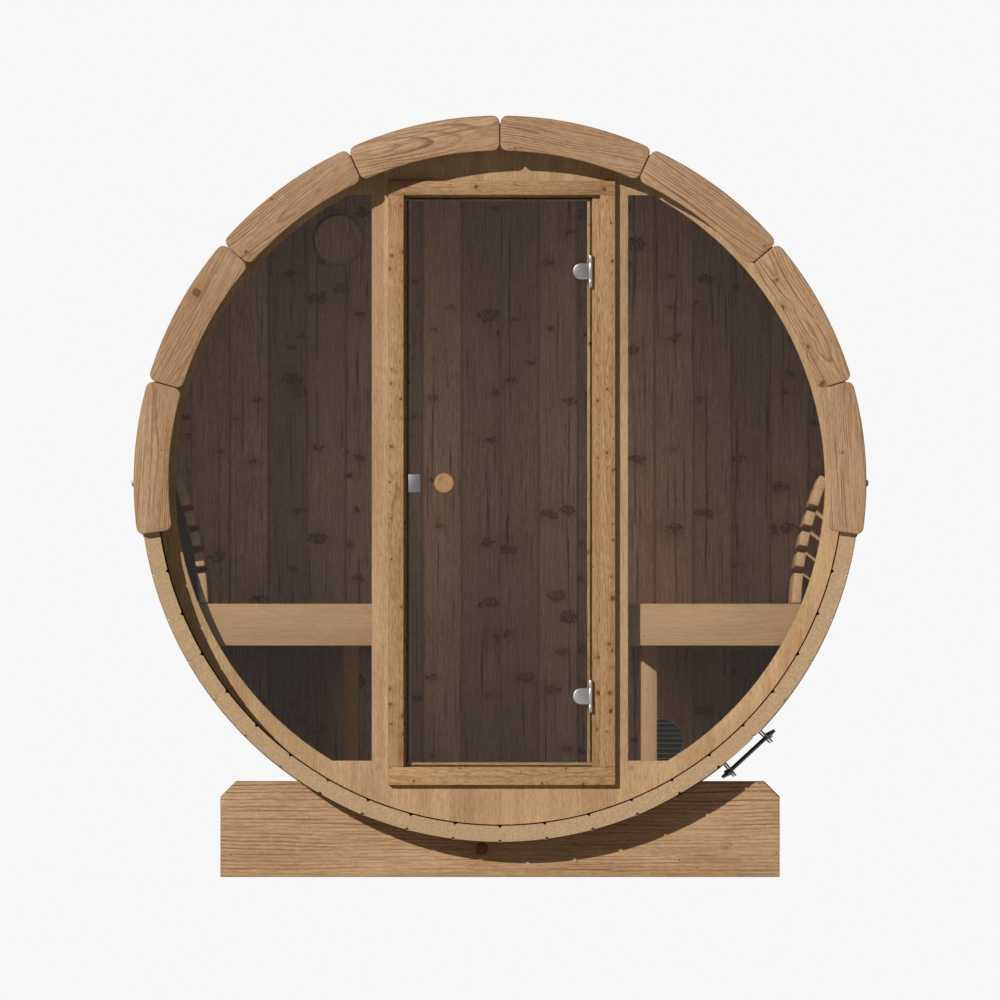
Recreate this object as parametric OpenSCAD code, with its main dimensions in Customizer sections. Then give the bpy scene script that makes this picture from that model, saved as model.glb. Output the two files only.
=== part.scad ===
// Barrel sauna: a round cabin of wooden staves on two cradles, with a glazed
// front wall, a hinged glass door, a boarded rear wall, benches and a floor.
// Millimetres. +Z is up, the front faces -Y, and the origin is on the ground
// under the middle of the barrel.

/* [Barrel] */
// Outside radius of the ring of staves
barrel_r = 1020; // [850:10:1230]
// Length of the staves, front to back
barrel_len = 1800; // [1500:20:2200]
// Thickness of a stave
stave_t = 46; // [38:1:56]
// Number of staves round the barrel
stave_count = 48; // [40, 48, 56]
// Bevel along the edges of a stave
stave_bevel = 4; // [2:0.5:6]
// Gap between neighbouring staves
stave_gap = 0.5; // [0.3:0.1:1]

/* [End trim] */
// Radial width of the curved boards on the stave ends
trim_w = 100; // [80:2:120]
// Thickness of those boards
trim_t = 27; // [20:1:35]
// How far the boards stand out past the staves
trim_overhang = 18; // [8:1:25]
// Number of boards in the arch
trim_count = 8; // [6:1:10]
// Angle that the arch runs down past the horizontal, in degrees
trim_drop = 8.4; // [2:0.2:15]
// Corner radius of a board
trim_corner_r = 20; // [10:1:32]
// Gap between neighbouring boards
trim_gap = 2.5; // [1:0.5:5]

/* [End walls] */
// Distance from the stave ends in to the face of each end wall
wall_recess = 80; // [60:2:120]
// Thickness of the end walls
wall_t = 42; // [36:1:50]
// Depth of the groove in the staves that holds an end wall
groove_d = 12; // [8:1:18]
// Clearance of an end wall in its groove
groove_fit = 0.3; // [0.2:0.1:0.6]
// Height of the front wall over the openings, at the middle
head_h = 160; // [140:5:200]
// Height of the front wall under the openings, at the middle
base_h = 185; // [165:5:220]
// Width of the wooden rim outside the windows, seen from the front
rim_w = 53; // [40:1:70]
// Width of a post between the casing and a window, on average
post_w = 41.5; // [30:0.5:60]
// Width of one rear wall board
rear_board_w = 111; // [90:1:140]

/* [Windows] */
// Thickness of the window glass
pane_t = 8; // [6:1:10]
// Depth of the rebate that the pane sits in, round its edge
pane_lap = 12; // [8:1:16]
// Wood in front of the pane
pane_lip = 20; // [12:1:24]
// Clearance round the pane in its rebate
pane_fit = 0.3; // [0.2:0.1:0.6]

/* [Door frame] */
// Sideways offset of the casing from the middle of the barrel
casing_x = 5; // [-10:1:15]
// Face width of the upright casings
casing_w = 44; // [34:1:54]
// Width of the frame that shows between the casing and the gap round the leaf
reveal_w = 14; // [8:1:20]
// How far the frame's clear opening reaches below the windows
sill_drop = 18; // [10:1:24]
// Face height of the casing over the door
casing_head_h = 40; // [30:1:60]
// Face height of the casing under the door
casing_sill_h = 52; // [35:1:60]
// How far the casing stands out from the wall
casing_t = 21; // [15:1:28]
// Depth of the frame outside the casing's inner edge, inside the wall
frame_lap = 22; // [16:1:26]

/* [Door leaf] */
// Sideways offset of the glass leaf
leaf_x = -2; // [-6:1:2]
// Width of the glass leaf
leaf_w = 512; // [420:2:620]
// Thickness of the glass leaf
leaf_t = 8; // [6:1:10]
// Gap between the leaf and the frame at both sides and at the top
leaf_gap = 8; // [6:0.5:9]
// Gap under the leaf
leaf_under = 6; // [5:0.5:9]
// Gap between the back of the leaf and its stop
leaf_back_gap = 5; // [5:0.5:8]
// How far the stop reaches in behind the leaf
stop_lap = 7; // [5:0.5:12]
// Radius of the turned wooden knob
knob_r = 29; // [22:1:34]
// Length of one knob
knob_len = 30; // [22:1:40]
// Distance from the free edge of the leaf to the knob
knob_inset = 100; // [80:5:140]
// Radius of the bolt that joins the two knobs
knob_bolt_r = 4.8; // [3:0.1:6]
// Width of the catch plates at the free edge
catch_w = 34; // [24:1:50]
// Height of the catch plates
catch_h = 51; // [35:1:70]
// Thickness of a catch plate
catch_t = 3; // [2:0.5:5]

/* [Door hinges] */
// Height of a hinge above the bottom of the leaf, lower one
hinge_low = 194; // [150:2:260]
// Distance of the upper hinge below the top of the leaf
hinge_high = 203; // [150:2:260]
// Height of the part of a hinge on the glass
hinge_h = 46; // [36:1:56]
// Height of the part of a hinge on the frame
hinge_leaf_h = 91; // [80:1:110]
// Width of the hinge clamp on the glass, from the pin
hinge_w = 50; // [40:1:60]
// Thickness of the hinge clamp in front of the glass
hinge_t = 10; // [7:0.5:14]
// Thickness of the hinge clamp behind the glass
hinge_back_t = 4.5; // [3:0.5:5]
// Outside radius of the hinge knuckles
knuckle_r = 6; // [5:0.5:7]
// Radius of the hinge pin
pin_r = 3; // [2:0.25:4]
// Radial running fit of a knuckle on the pin
pin_fit = 0.05; // [0.02:0.01:0.1]
// Gap between knuckles along the pin
knuckle_gap = 0.5; // [0.3:0.1:1]
// Thickness of the leaf plate on the frame
leaf_plate_t = 2.5; // [2:0.5:4]
// Radius of the bolt that holds a clamp on the glass
hinge_bolt_r = 5; // [3:0.5:6]
// Distance from the pin to that bolt
hinge_bolt_in = 28; // [20:1:34]

/* [Floor] */
// Height of the floor above the lowest point inside the barrel
floor_up = 145; // [130:5:200]
// Thickness of a floor board
floor_t = 22; // [18:1:30]
// Number of floor boards
floor_count = 9; // [5:1:12]
// Gap between floor boards
floor_gap = 9; // [5:1:15]
// Height of the joists under the floor boards
joist_h = 46; // [35:1:60]
// Width of a joist
joist_w = 45; // [35:1:60]
// Distance from each end wall to the first joist
joist_in = 195; // [100:5:300]

/* [Benches] */
// Height of the barrel's middle line above the seat
seat_drop = 344; // [300:5:400]
// Distance from the middle of the barrel to a bench
bench_x = 349; // [300:5:370]
// Distance from each end wall to a bench
bench_end_gap = 9; // [5:1:20]
// Height of the aprons round a bench
apron_h = 119; // [90:1:140]
// Thickness of the aprons
apron_t = 28; // [20:1:35]
// Number of seat slats on a bench
seat_count = 5; // [4:1:7]
// Gap between seat slats
seat_gap = 12; // [6:1:20]
// Thickness of a seat slat
seat_t = 27; // [20:1:32]
// Width of a bench leg and of the bearer over it
leg_w = 44; // [35:1:60]
// Distance from the aisle face of a bench to its legs
leg_inset = 54; // [40:1:80]
// Distance from the front apron to the first leg
leg_end = 300; // [200:10:400]
// Height of a bearer under the seat
bearer_h = 70; // [50:1:80]

/* [Backrests] */
// Height of the slats of a backrest, from the seat up
back_slats = [86, 41, 41, 41, 86];
// Gap between those slats
back_gap = 19.5; // [12:0.5:25]
// Thickness of a backrest slat
back_slat_t = 27; // [20:1:32]
// Radius of the curve that the slats follow
back_curve_r = 1041; // [900:10:1400]
// Distance from the staves in to the face of the lowest slat
back_off = 84; // [70:1:120]
// Depth of a rib behind the slats
rib_d = 38; // [25:1:45]
// Width of a rib
rib_w = 28; // [20:1:40]

/* [Cradles] */
// Half the width of a cradle
cradle_x = 793; // [700:5:800]
// Height of a cradle at its ends
cradle_h = 272; // [240:2:320]
// Wood under the lowest point of the barrel
cradle_under = 99; // [60:1:140]
// Thickness of a cradle
cradle_t = 46; // [38:1:90]
// Distance from the stave ends in to a cradle
cradle_in = 115; // [90:5:300]
// Size of the cut top corners
cradle_cut = 44; // [20:1:60]
// Clearance between a cradle and the staves
cradle_fit = 0.3; // [0.2:0.1:0.6]

/* [Steel bands] */
// Distance of each band from the middle of the barrel
band_y = 560; // [400:10:620]
// Width of a band
band_w = 30; // [20:1:50]
// Thickness of a band
band_t = 2.5; // [1.5:0.5:4]
// Clearance between a band and the staves
band_fit = 0.3; // [0.2:0.1:0.6]
// Angle of the tightener below the horizontal, in degrees
band_angle = 47.3; // [35:0.1:60]
// Distance between the two lugs of the tightener
lug_span = 136; // [100:2:180]
// Height of the lugs above the band
lug_h = 45; // [35:1:60]
// Thickness of a lug
lug_t = 5; // [3:0.5:8]
// Length of the threaded rod
rod_len = 195; // [180:5:240]
// Radius of the threaded rod
rod_r = 5.75; // [4:0.25:8]
// Radial clearance of the rod in the lugs
rod_fit = 0.3; // [0.2:0.1:0.8]
// Height of the rod's middle line above the band
rod_up = 22; // [18:1:30]
// Height of the joint lugs at both sides of a band
side_lug_h = 24; // [18:1:30]

/* [Vents] */
// Radius of the wooden cover over the upper vent
cover_r = 75; // [60:1:90]
// Thickness of that cover
cover_t = 18; // [12:1:25]
// Radius of a vent grille
grille_r = 64.5; // [55:0.5:75]
// Radius of the duct through the wall
duct_r = 50; // [40:1:52]
// Distance from the staves in to the upper vent
upper_vent_in = 125; // [120:5:200]
// Distance from the staves in to the lower vent
lower_vent_in = 112; // [100:1:160]
// Direction of the upper vent seen from the front, in degrees
upper_vent_a = 123.1; // [110:0.1:135]
// Direction of the lower vent seen from the front, in degrees
lower_vent_a = -57.5; // [-70:0.5:-50]
// Distance between the slats of a grille
louvre_pitch = 14.5; // [10:0.5:20]

/* [Hidden] */
$fn = 180;
GROUPS = 8;
// Overshoot of a cut past the face that it goes through
over = 1;

barrel_in = barrel_r - stave_t;
mid_z = cradle_under + barrel_r;
end_y = barrel_len / 2;
wall_y = end_y - wall_recess;
wall_in_y = wall_y - wall_t;
wall_r = barrel_in + groove_d;
open_top = mid_z + barrel_in - head_h;
open_low = mid_z - barrel_in + base_h;
window_r = barrel_in - rim_w;

// Casing: half its overall width, then its inner and outer edges
casing_half = leaf_w / 2 + leaf_gap + reveal_w + casing_w;
casing_l = casing_x - casing_half;
casing_r = casing_x + casing_half;
// Half the distance between the two windows
window_x = casing_half + post_w;
casing_in_l = casing_l + casing_w;
casing_in_r = casing_r - casing_w;
frame_l = casing_in_l - frame_lap;
frame_r = casing_in_r + frame_lap;
sill_top = open_low - sill_drop;
casing_low = sill_top - casing_sill_h;
casing_high = open_top + casing_head_h;
frame_low = sill_top - frame_lap;
frame_high = open_top + frame_lap;

// Door leaf
leaf_l = leaf_x - leaf_w / 2;
leaf_r = leaf_x + leaf_w / 2;
leaf_low = sill_top + leaf_under;
leaf_top_reveal = 5;
leaf_high = open_top - leaf_top_reveal - leaf_gap;
leaf_front = -wall_y;
stop_y = leaf_front + leaf_t + leaf_back_gap;
// The hinge pin lies just outside the leaf's edge and in front of it
pin_out = 2.5;
knuckle_clear = 2;
pin_x = leaf_r + pin_out;
pin_y = leaf_front - knuckle_r - knuckle_clear;
hinge_z = [leaf_low + hinge_low, leaf_high - hinge_high];
latch_drop = 3;
latch_z = mid_z - latch_drop;

// Floor and benches
floor_top = mid_z - barrel_in + floor_up;
seat_top = mid_z - seat_drop;
bench_y = wall_in_y - bench_end_gap;
fit_r = barrel_in - groove_fit;
leg_y = bench_y - apron_t - leg_end;
bearer_low = seat_top - seat_t - bearer_h;

// Backrest curve: its middle lies outside the cabin, a little below the seat
back_mid_drop = 35;
back_foot_gap = 0.3;
back_start = (back_mid_drop + back_foot_gap) * back_curve_r
             / (back_curve_r - back_slat_t - rib_d);
back_mid_x = chord_x(seat_top) - back_off + back_curve_r;
back_mid_z = seat_top - back_mid_drop;

band_in_r = barrel_r + band_fit;
band_out_r = band_in_r + band_t;
nut_across = 19;
nut_h = 10;

function chord_x(z, r = fit_r) = sqrt(r * r - (z - mid_z) * (z - mid_z));
function polar(r, a) = [r * cos(a), r * sin(a)];
function arc(r, a0, a1, n) = [for (i = [0 : n]) polar(r, a0 + (a1 - a0) * i / n)];
function sum(v, n) = n == 0 ? 0 : v[n - 1] + sum(v, n - 1);
function vent_at(inset, a) = polar(barrel_in - inset, a);

wood = [0.68, 0.53, 0.38];
pale_wood = [0.72, 0.58, 0.43];
dark_wood = [0.33, 0.26, 0.22];
cradle_wood = [0.66, 0.52, 0.38];
bench_wood = [0.70, 0.58, 0.44];
steel = [0.62, 0.62, 0.60];
black_steel = [0.25, 0.26, 0.26];
clear_glass = [0.55, 0.50, 0.48, 0.35];

// Extrude a shape drawn in the plane of an end wall, from y0 back to y1.
module slab(y0, y1) {
    translate([0, y1, mid_z])
        rotate([90, 0, 0])
            linear_extrude(y1 - y0)
                children();
}

// Box between two corners.
module box(low, high) {
    translate(low)
        cube(high - low);
}

// Flat shape between two corners, in the plane of an end wall.
module flat(low, high) {
    translate(low)
        square(high - low);
}

// ---- Barrel ----

// Cross-section of one stave about its own middle line, bevelled at its edges.
module stave_section() {
    half = 180 / stave_count;
    function side(u) = u * tan(half) - stave_gap / 2;
    past = 2;
    edge = [
        [barrel_in - past, side(barrel_in - past) - stave_bevel - past],
        [barrel_in + stave_bevel, side(barrel_in + stave_bevel)],
        [barrel_r - stave_bevel, side(barrel_r - stave_bevel)],
        [barrel_r + past, side(barrel_r + past) - stave_bevel - past]
    ];
    far_edge = [for (i = [3 : -1 : 0]) [edge[i].x, -edge[i].y]];
    intersection() {
        difference() {
            circle(barrel_r);
            circle(barrel_in);
        }
        polygon(concat(edge, far_edge));
    }
}

module wall_groove(y0) {
    slab(y0 - groove_fit, y0 + wall_t + groove_fit)
        circle(wall_r + groove_fit);
}

module stave_group(n) {
    each_group = stave_count / GROUPS;
    color(wood)
        difference() {
            for (i = [0 : each_group - 1])
                slab(-end_y, end_y)
                    rotate((n * each_group + i + 0.5) * 360 / stave_count)
                        stave_section();
            wall_groove(-wall_y);
            wall_groove(wall_in_y);
        }
}

// ---- End trim ----

// One curved board with rounded corners, from angle a0 to angle a1.
module trim_board(a0, a1) {
    outer = barrel_r + trim_overhang;
    inner = outer - trim_w;
    c = trim_corner_r;
    slack = trim_gap / 2;
    // Angles from the side of the board to the middle of each corner arc
    out_a = asin((c + slack) / (outer - c));
    in_a = asin((c + slack) / (inner + c));
    steps = 6;
    curve = 14;
    function corner(r, a, b0, b1) = [for (p = arc(c, b0, b1, steps)) p + polar(r, a)];
    polygon(concat(
        corner(outer - c, a0 + out_a, a0 - 90, a0 + out_a),
        arc(outer, a0 + out_a, a1 - out_a, curve),
        corner(outer - c, a1 - out_a, a1 - out_a, a1 + 90),
        corner(inner + c, a1 - in_a, a1 + 90, a1 - in_a + 180),
        arc(inner, a1 - in_a, a0 + in_a, curve),
        corner(inner + c, a0 + in_a, a0 + in_a + 180, a0 + 270)
    ));
}

module trim(y0) {
    span = (180 + 2 * trim_drop) / trim_count;
    color(wood)
        for (i = [0 : trim_count - 1])
            slab(y0, y0 + trim_t)
                trim_board(-trim_drop + i * span, -trim_drop + (i + 1) * span);
}

// ---- Front wall ----

// Outline of a window: side is -1 at the left and 1 at the right.
module window_outline(side, grow) {
    intersection() {
        circle(window_r + grow);
        x0 = window_x - grow;
        x1 = barrel_r;
        flat([side > 0 ? x0 : -x1, open_low - mid_z - grow],
             [side > 0 ? x1 : -x0, open_top - mid_z + grow]);
    }
}

module front_slab() {
    slab(-wall_y, -wall_in_y)
        children();
}

// Both window openings with their rebates, and the hole for the door frame.
module front_openings() {
    for (side = [-1, 1]) {
        slab(-wall_y - over, -wall_in_y + over)
            window_outline(side, 0);
        slab(-wall_y + pane_lip, -wall_in_y + over)
            window_outline(side, pane_lap);
    }
    box([frame_l - pane_fit, -wall_y - over, frame_low - pane_fit],
        [frame_r + pane_fit, -wall_in_y + over, frame_high + pane_fit]);
}

module front_panel(z0, z1) {
    color(pale_wood)
        difference() {
            front_slab()
                intersection() {
                    circle(wall_r);
                    flat([-barrel_r, z0 - mid_z], [barrel_r, z1 - mid_z]);
                }
            front_openings();
        }
}

module front_rim(side) {
    color(pale_wood)
        difference() {
            front_slab()
                intersection() {
                    circle(wall_r);
                    flat([side > 0 ? window_x : -barrel_r, open_low - mid_z],
                         [side > 0 ? barrel_r : -window_x, open_top - mid_z]);
                }
            front_openings();
        }
}

module front_post(side) {
    color(pale_wood)
        difference() {
            front_slab()
                flat([side > 0 ? casing_x : -window_x, open_low - mid_z],
                     [side > 0 ? window_x : casing_x, open_top - mid_z]);
            front_openings();
        }
}

module window_pane(side) {
    color(clear_glass)
        slab(-wall_y + pane_lip, -wall_y + pane_lip + pane_t)
            window_outline(side, pane_lap - pane_fit);
}

// ---- Door frame ----

// Upright of the frame: casing in front of the wall, rebate, then stop.
module door_jamb(casing_out, casing_edge, frame_edge, rebate_edge, stop_edge) {
    module strip(x0, x1, y0, y1, z0, z1) {
        box([min(x0, x1), y0, z0], [max(x0, x1), y1, z1]);
    }
    color(wood) {
        strip(casing_out, casing_edge, -wall_y - casing_t, -wall_y, sill_top, open_top);
        strip(frame_edge, rebate_edge, -wall_y, stop_y, sill_top, leaf_high + leaf_gap);
        strip(frame_edge, stop_edge, stop_y, -wall_in_y,
              leaf_low + stop_lap, leaf_high - stop_lap);
    }
}

module door_jamb_left() {
    door_jamb(casing_l, casing_in_l, frame_l, leaf_l - leaf_gap, leaf_l + stop_lap);
}

module door_jamb_right() {
    door_jamb(casing_r, casing_in_r, frame_r, leaf_r + leaf_gap, leaf_r - stop_lap);
}

module door_head() {
    color(wood) {
        box([casing_l, -wall_y - casing_t, open_top], [casing_r, -wall_y, casing_high]);
        box([frame_l, -wall_y, leaf_high + leaf_gap], [frame_r, stop_y, frame_high]);
        box([frame_l, stop_y, leaf_high - stop_lap], [frame_r, -wall_in_y, frame_high]);
    }
}

module door_sill() {
    color(wood) {
        box([casing_l, -wall_y - casing_t, casing_low], [casing_r, -wall_y, sill_top]);
        box([frame_l, -wall_y, frame_low], [frame_r, stop_y, sill_top]);
        box([frame_l, stop_y, frame_low], [frame_r, -wall_in_y, leaf_low + stop_lap]);
    }
}

// ---- Door leaf and its hardware ----

// Bolt, or the hole for it, from just in front of the leaf to just behind it.
module leaf_bolt(x, z, r) {
    translate([x, leaf_front - over, z])
        rotate([-90, 0, 0])
            cylinder(h = leaf_t + 2 * over, r = r);
}

module door_glass() {
    color(clear_glass)
        difference() {
            box([leaf_l, leaf_front, leaf_low], [leaf_r, leaf_front + leaf_t, leaf_high]);
            leaf_bolt(leaf_l + knob_inset, latch_z, knob_bolt_r + pane_fit);
            for (z = hinge_z)
                leaf_bolt(pin_x - hinge_bolt_in, z, hinge_bolt_r + pane_fit);
        }
}

// Plate with one round end, seen from the front: the round end is at the left.
module hinge_plate(x1) {
    round_r = hinge_h / 2;
    left = pin_x - hinge_w;
    hull_w = x1 - left - round_r;
    translate([left + round_r, 0])
        circle(round_r);
    translate([left + round_r, -round_r])
        square([hull_w, hinge_h]);
}

module door_hinge_clamp() {
    edge_in = 1;
    stop_clear = 6;
    front_right = leaf_r - edge_in;
    back_right = leaf_r - stop_lap - stop_clear;
    difference() {
        union() {
            translate([0, leaf_front, 0])
                rotate([90, 0, 0])
                    linear_extrude(hinge_t)
                        hinge_plate(front_right);
            translate([0, leaf_front + leaf_t + hinge_back_t, 0])
                rotate([90, 0, 0])
                    linear_extrude(hinge_back_t)
                        hinge_plate(back_right);
            leaf_bolt(pin_x - hinge_bolt_in, 0, hinge_bolt_r);
            translate([pin_x, pin_y, -hinge_h / 2])
                cylinder(h = hinge_h, r = knuckle_r);
        }
        translate([pin_x, pin_y, -hinge_h / 2 - over])
            cylinder(h = hinge_h + 2 * over, r = pin_r + pin_fit);
    }
}

module door_hinge_clamps() {
    color(steel)
        for (z = hinge_z)
            translate([0, 0, z])
                door_hinge_clamp();
}

// Plate on the frame's rebate with a knuckle above and below the clamp's one,
// and the pin through all three.
module frame_hinge_leaf() {
    plate_x = leaf_r + leaf_gap;
    knuckle_low = hinge_h / 2 + knuckle_gap;
    box([plate_x - leaf_plate_t, pin_y, -hinge_leaf_h / 2],
        [plate_x, stop_y, -knuckle_low]);
    box([plate_x - leaf_plate_t, pin_y, knuckle_low],
        [plate_x, stop_y, hinge_leaf_h / 2]);
    box([plate_x - leaf_plate_t, leaf_front, -hinge_leaf_h / 2],
        [plate_x, stop_y, hinge_leaf_h / 2]);
    for (z = [-hinge_leaf_h / 2, knuckle_low])
        translate([pin_x, pin_y, z])
            cylinder(h = hinge_leaf_h / 2 - knuckle_low, r = knuckle_r);
    translate([pin_x, pin_y, -hinge_leaf_h / 2])
        cylinder(h = hinge_leaf_h, r = pin_r);
}

module frame_hinge_leaves() {
    color(steel)
        for (z = hinge_z)
            translate([0, 0, z])
                frame_hinge_leaf();
}

// Two turned knobs on one bolt through the glass.
module door_knobs() {
    rim = 5;
    neck_r = 17;
    neck = 6;
    back = 8;
    half = [
        [0, 0],
        [neck_r, 0],
        [neck_r, neck],
        [knob_r - rim, back],
        [knob_r, back + rim],
        [knob_r, knob_len - rim],
        [knob_r - rim, knob_len],
        [0, knob_len]
    ];
    color(wood)
    {
        translate([leaf_l + knob_inset, leaf_front, latch_z])
            rotate([90, 0, 0])
                rotate_extrude()
                    polygon(half);
        translate([leaf_l + knob_inset, leaf_front + leaf_t, latch_z])
            rotate([-90, 0, 0])
                rotate_extrude()
                    polygon(half);
        leaf_bolt(leaf_l + knob_inset, latch_z, knob_bolt_r);
    }
}

// Plates on both faces of the glass, joined round its free edge.
module door_catch() {
    wrap = 2;
    color(steel)
        difference() {
            box([leaf_l - wrap, leaf_front - catch_t, latch_z - catch_h / 2],
                [leaf_l - wrap + catch_w, leaf_front + leaf_t + catch_t, latch_z + catch_h / 2]);
            box([leaf_l, leaf_front, latch_z - catch_h],
                [leaf_l + catch_w, leaf_front + leaf_t, latch_z + catch_h]);
        }
}

// ---- Rear wall and vents ----

board_bevel = 2.5;
board_gap = 0.5;
board_count = 2 * ceil(wall_r / rear_board_w);
// Boards in the left and in the right part of the rear wall
side_boards = floor(board_count / 3);
right_board = board_count - side_boards;
duct_t = 2;

module duct_holes() {
    for (at = [vent_at(upper_vent_in, upper_vent_a), vent_at(lower_vent_in, lower_vent_a)])
        slab(wall_in_y - over, wall_y + over)
            translate(at)
                circle(duct_r + duct_t);
}

module rear_board(i) {
    x0 = (i - board_count / 2) * rear_board_w + board_gap / 2;
    x1 = x0 + rear_board_w - board_gap;
    b = board_bevel;
    translate([0, 0, mid_z - barrel_r])
        linear_extrude(2 * barrel_r)
            polygon([
                [x0 + b, wall_in_y], [x1 - b, wall_in_y], [x1, wall_in_y + b], [x1, wall_y - b],
                [x1 - b, wall_y], [x0 + b, wall_y], [x0, wall_y - b], [x0, wall_in_y + b]
            ]);
}

module rear_boards(first, last) {
    color(dark_wood)
        difference() {
            intersection() {
                for (i = [first : last])
                    rear_board(i);
                slab(wall_in_y, wall_y)
                    circle(wall_r);
            }
            duct_holes();
        }
}

module upper_vent_cover() {
    rim = 6;
    sunk = 4;
    color(dark_wood)
        difference() {
            slab(wall_in_y - cover_t, wall_in_y)
                translate(vent_at(upper_vent_in, upper_vent_a))
                    circle(cover_r);
            slab(wall_in_y - cover_t - over, wall_in_y - cover_t + sunk)
                translate(vent_at(upper_vent_in, upper_vent_a))
                    circle(cover_r - rim);
        }
}

// Round louvred grille against the wall face at wall_face. It stands out on the
// side that out names, and its sleeve goes into the duct.
module grille(at, wall_face, out) {
    flange = 5;
    sleeve = 15;
    ring_w = 7;
    y_out = wall_face + out * flange;
    y_in = wall_face - out * sleeve;
    open_r = grille_r - ring_w;
    louvre_t = 3;
    count = floor(open_r / louvre_pitch);
    slab(min(y_out, wall_face), max(y_out, wall_face))
        translate(at)
            difference() {
                circle(grille_r);
                circle(duct_r - duct_t);
            }
    slab(min(y_out, y_in), max(y_out, y_in))
        translate(at)
            difference() {
                circle(duct_r + duct_t - pane_fit);
                circle(duct_r - duct_t);
            }
    slab(min(y_out, y_in), max(y_out, y_in))
        translate(at)
            intersection() {
                circle(duct_r - duct_t / 2);
                for (i = [-count : count])
                    translate([-grille_r, i * louvre_pitch - louvre_t / 2])
                        square([2 * grille_r, louvre_t]);
            }
}

module lower_vent_grille() {
    color(black_steel)
        grille(vent_at(lower_vent_in, lower_vent_a), wall_in_y, -1);
}

module outer_vent_grilles() {
    color(black_steel) {
        grille(vent_at(upper_vent_in, upper_vent_a), wall_y, 1);
        grille(vent_at(lower_vent_in, lower_vent_a), wall_y, 1);
    }
}

// ---- Floor ----

module floor_joists() {
    top = floor_top - floor_t;
    color(pale_wood)
        for (y = [joist_in - wall_in_y, -joist_w / 2, wall_in_y - joist_in - joist_w])
            slab(y, y + joist_w)
                intersection() {
                    circle(fit_r);
                    flat([-barrel_r, top - joist_h - mid_z], [barrel_r, top - mid_z]);
                }
}

module floor_boards() {
    half = chord_x(floor_top - floor_t);
    board_w = (2 * half - (floor_count - 1) * floor_gap) / floor_count;
    end_gap = 4;
    color(pale_wood)
        for (i = [0 : floor_count - 1]) {
            x0 = -half + i * (board_w + floor_gap);
            box([x0, -wall_in_y + end_gap, floor_top - floor_t],
                [x0 + board_w, wall_in_y - end_gap, floor_top]);
        }
}

// ---- Benches, drawn at the right and mirrored to the left ----

module at_side(side) {
    mirror([side > 0 ? 0 : 1, 0, 0])
        children();
}

module bench_strip(y0, y1, z0, z1) {
    slab(y0, y1)
        intersection() {
            circle(fit_r);
            flat([bench_x, z0 - mid_z], [barrel_r, z1 - mid_z]);
        }
}

module bench_frame(side) {
    color(bench_wood)
        at_side(side) {
            bench_strip(-bench_y, -bench_y + apron_t, seat_top - apron_h, seat_top);
            bench_strip(bench_y - apron_t, bench_y, seat_top - apron_h, seat_top);
            box([bench_x, -bench_y, seat_top - apron_h],
                [bench_x + apron_t, bench_y, seat_top]);
            for (y = [-leg_y, leg_y - leg_w])
                bench_strip(y, y + leg_w, bearer_low, seat_top - seat_t);
        }
}

module bench_legs(side) {
    color(bench_wood)
        at_side(side)
            for (y = [-leg_y, leg_y - leg_w])
                box([bench_x + leg_inset, y, floor_top],
                    [bench_x + leg_inset + leg_w, y + leg_w, bearer_low]);
}

module bench_seat(side) {
    x0 = bench_x + apron_t;
    x1 = chord_x(seat_top - seat_t);
    slat_w = (x1 - x0 - seat_count * seat_gap) / seat_count;
    y_end = bench_y - apron_t;
    color(bench_wood)
        at_side(side)
            for (i = [0 : seat_count - 1])
                translate([x0 + seat_gap + i * (slat_w + seat_gap), -y_end, seat_top - seat_t])
                    cube([slat_w, 2 * y_end, seat_t]);
}

// Ring sector of a backrest, between two lengths along its curve.
module back_piece(s0, s1, depth0, depth1) {
    a0 = s0 / back_curve_r * 180 / PI;
    a1 = s1 / back_curve_r * 180 / PI;
    outer = back_curve_r - depth0;
    inner = back_curve_r - depth1;
    translate([back_mid_x, back_mid_z - mid_z])
        mirror([1, 0])
            polygon(concat(arc(outer, a0, a1, 6), arc(inner, a1, a0, 6)));
}

module backrest(side) {
    rib_bite = 1;
    total = sum(back_slats, len(back_slats)) + (len(back_slats) - 1) * back_gap;
    color(bench_wood)
        at_side(side) {
            for (i = [0 : len(back_slats) - 1]) {
                s0 = back_start + sum(back_slats, i) + i * back_gap;
                slab(-bench_y, bench_y)
                    back_piece(s0, s0 + back_slats[i], 0, back_slat_t);
            }
            for (y = [-leg_y, -rib_w / 2, leg_y - rib_w])
                slab(y, y + rib_w)
                    intersection() {
                        back_piece(back_start, back_start + total,
                                   back_slat_t - rib_bite, back_slat_t + rib_d);
                        circle(fit_r);
                    }
        }
}

// ---- Cradles ----

module cradle(y0) {
    color(cradle_wood)
        slab(y0, y0 + cradle_t)
            difference() {
                translate([0, -mid_z])
                    polygon([
                        [-cradle_x, 0], [cradle_x, 0], [cradle_x, cradle_h - cradle_cut],
                        [cradle_x - cradle_cut, cradle_h], [cradle_cut - cradle_x, cradle_h],
                        [-cradle_x, cradle_h - cradle_cut]
                    ]);
                circle(barrel_r + cradle_fit);
            }
}

// ---- Steel bands ----

// Half the angle between the lugs of the tightener
lug_a = asin(lug_span / 2 / band_out_r);

module lug(a) {
    rotate(a)
        translate([band_in_r, -lug_t / 2])
            square([lug_h + band_t, lug_t]);
}

module band_ring() {
    // The band is open between the lugs of the tightener
    rotate(-band_angle) {
        difference() {
            circle(band_out_r);
            circle(band_in_r);
            polygon([[0, 0], polar(2 * barrel_r, -lug_a), polar(2 * barrel_r, lug_a)]);
        }
        lug(-lug_a);
        lug(lug_a);
    }
    // Joint lugs at both sides
    root_half = 22;
    tip_half = 7;
    x0 = band_in_r + band_t / 5;
    x1 = band_out_r + side_lug_h;
    for (a = [0, 180])
        rotate(a)
            polygon([[x0, -root_half], [x1, -tip_half], [x1, tip_half], [x0, root_half]]);
}

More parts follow.
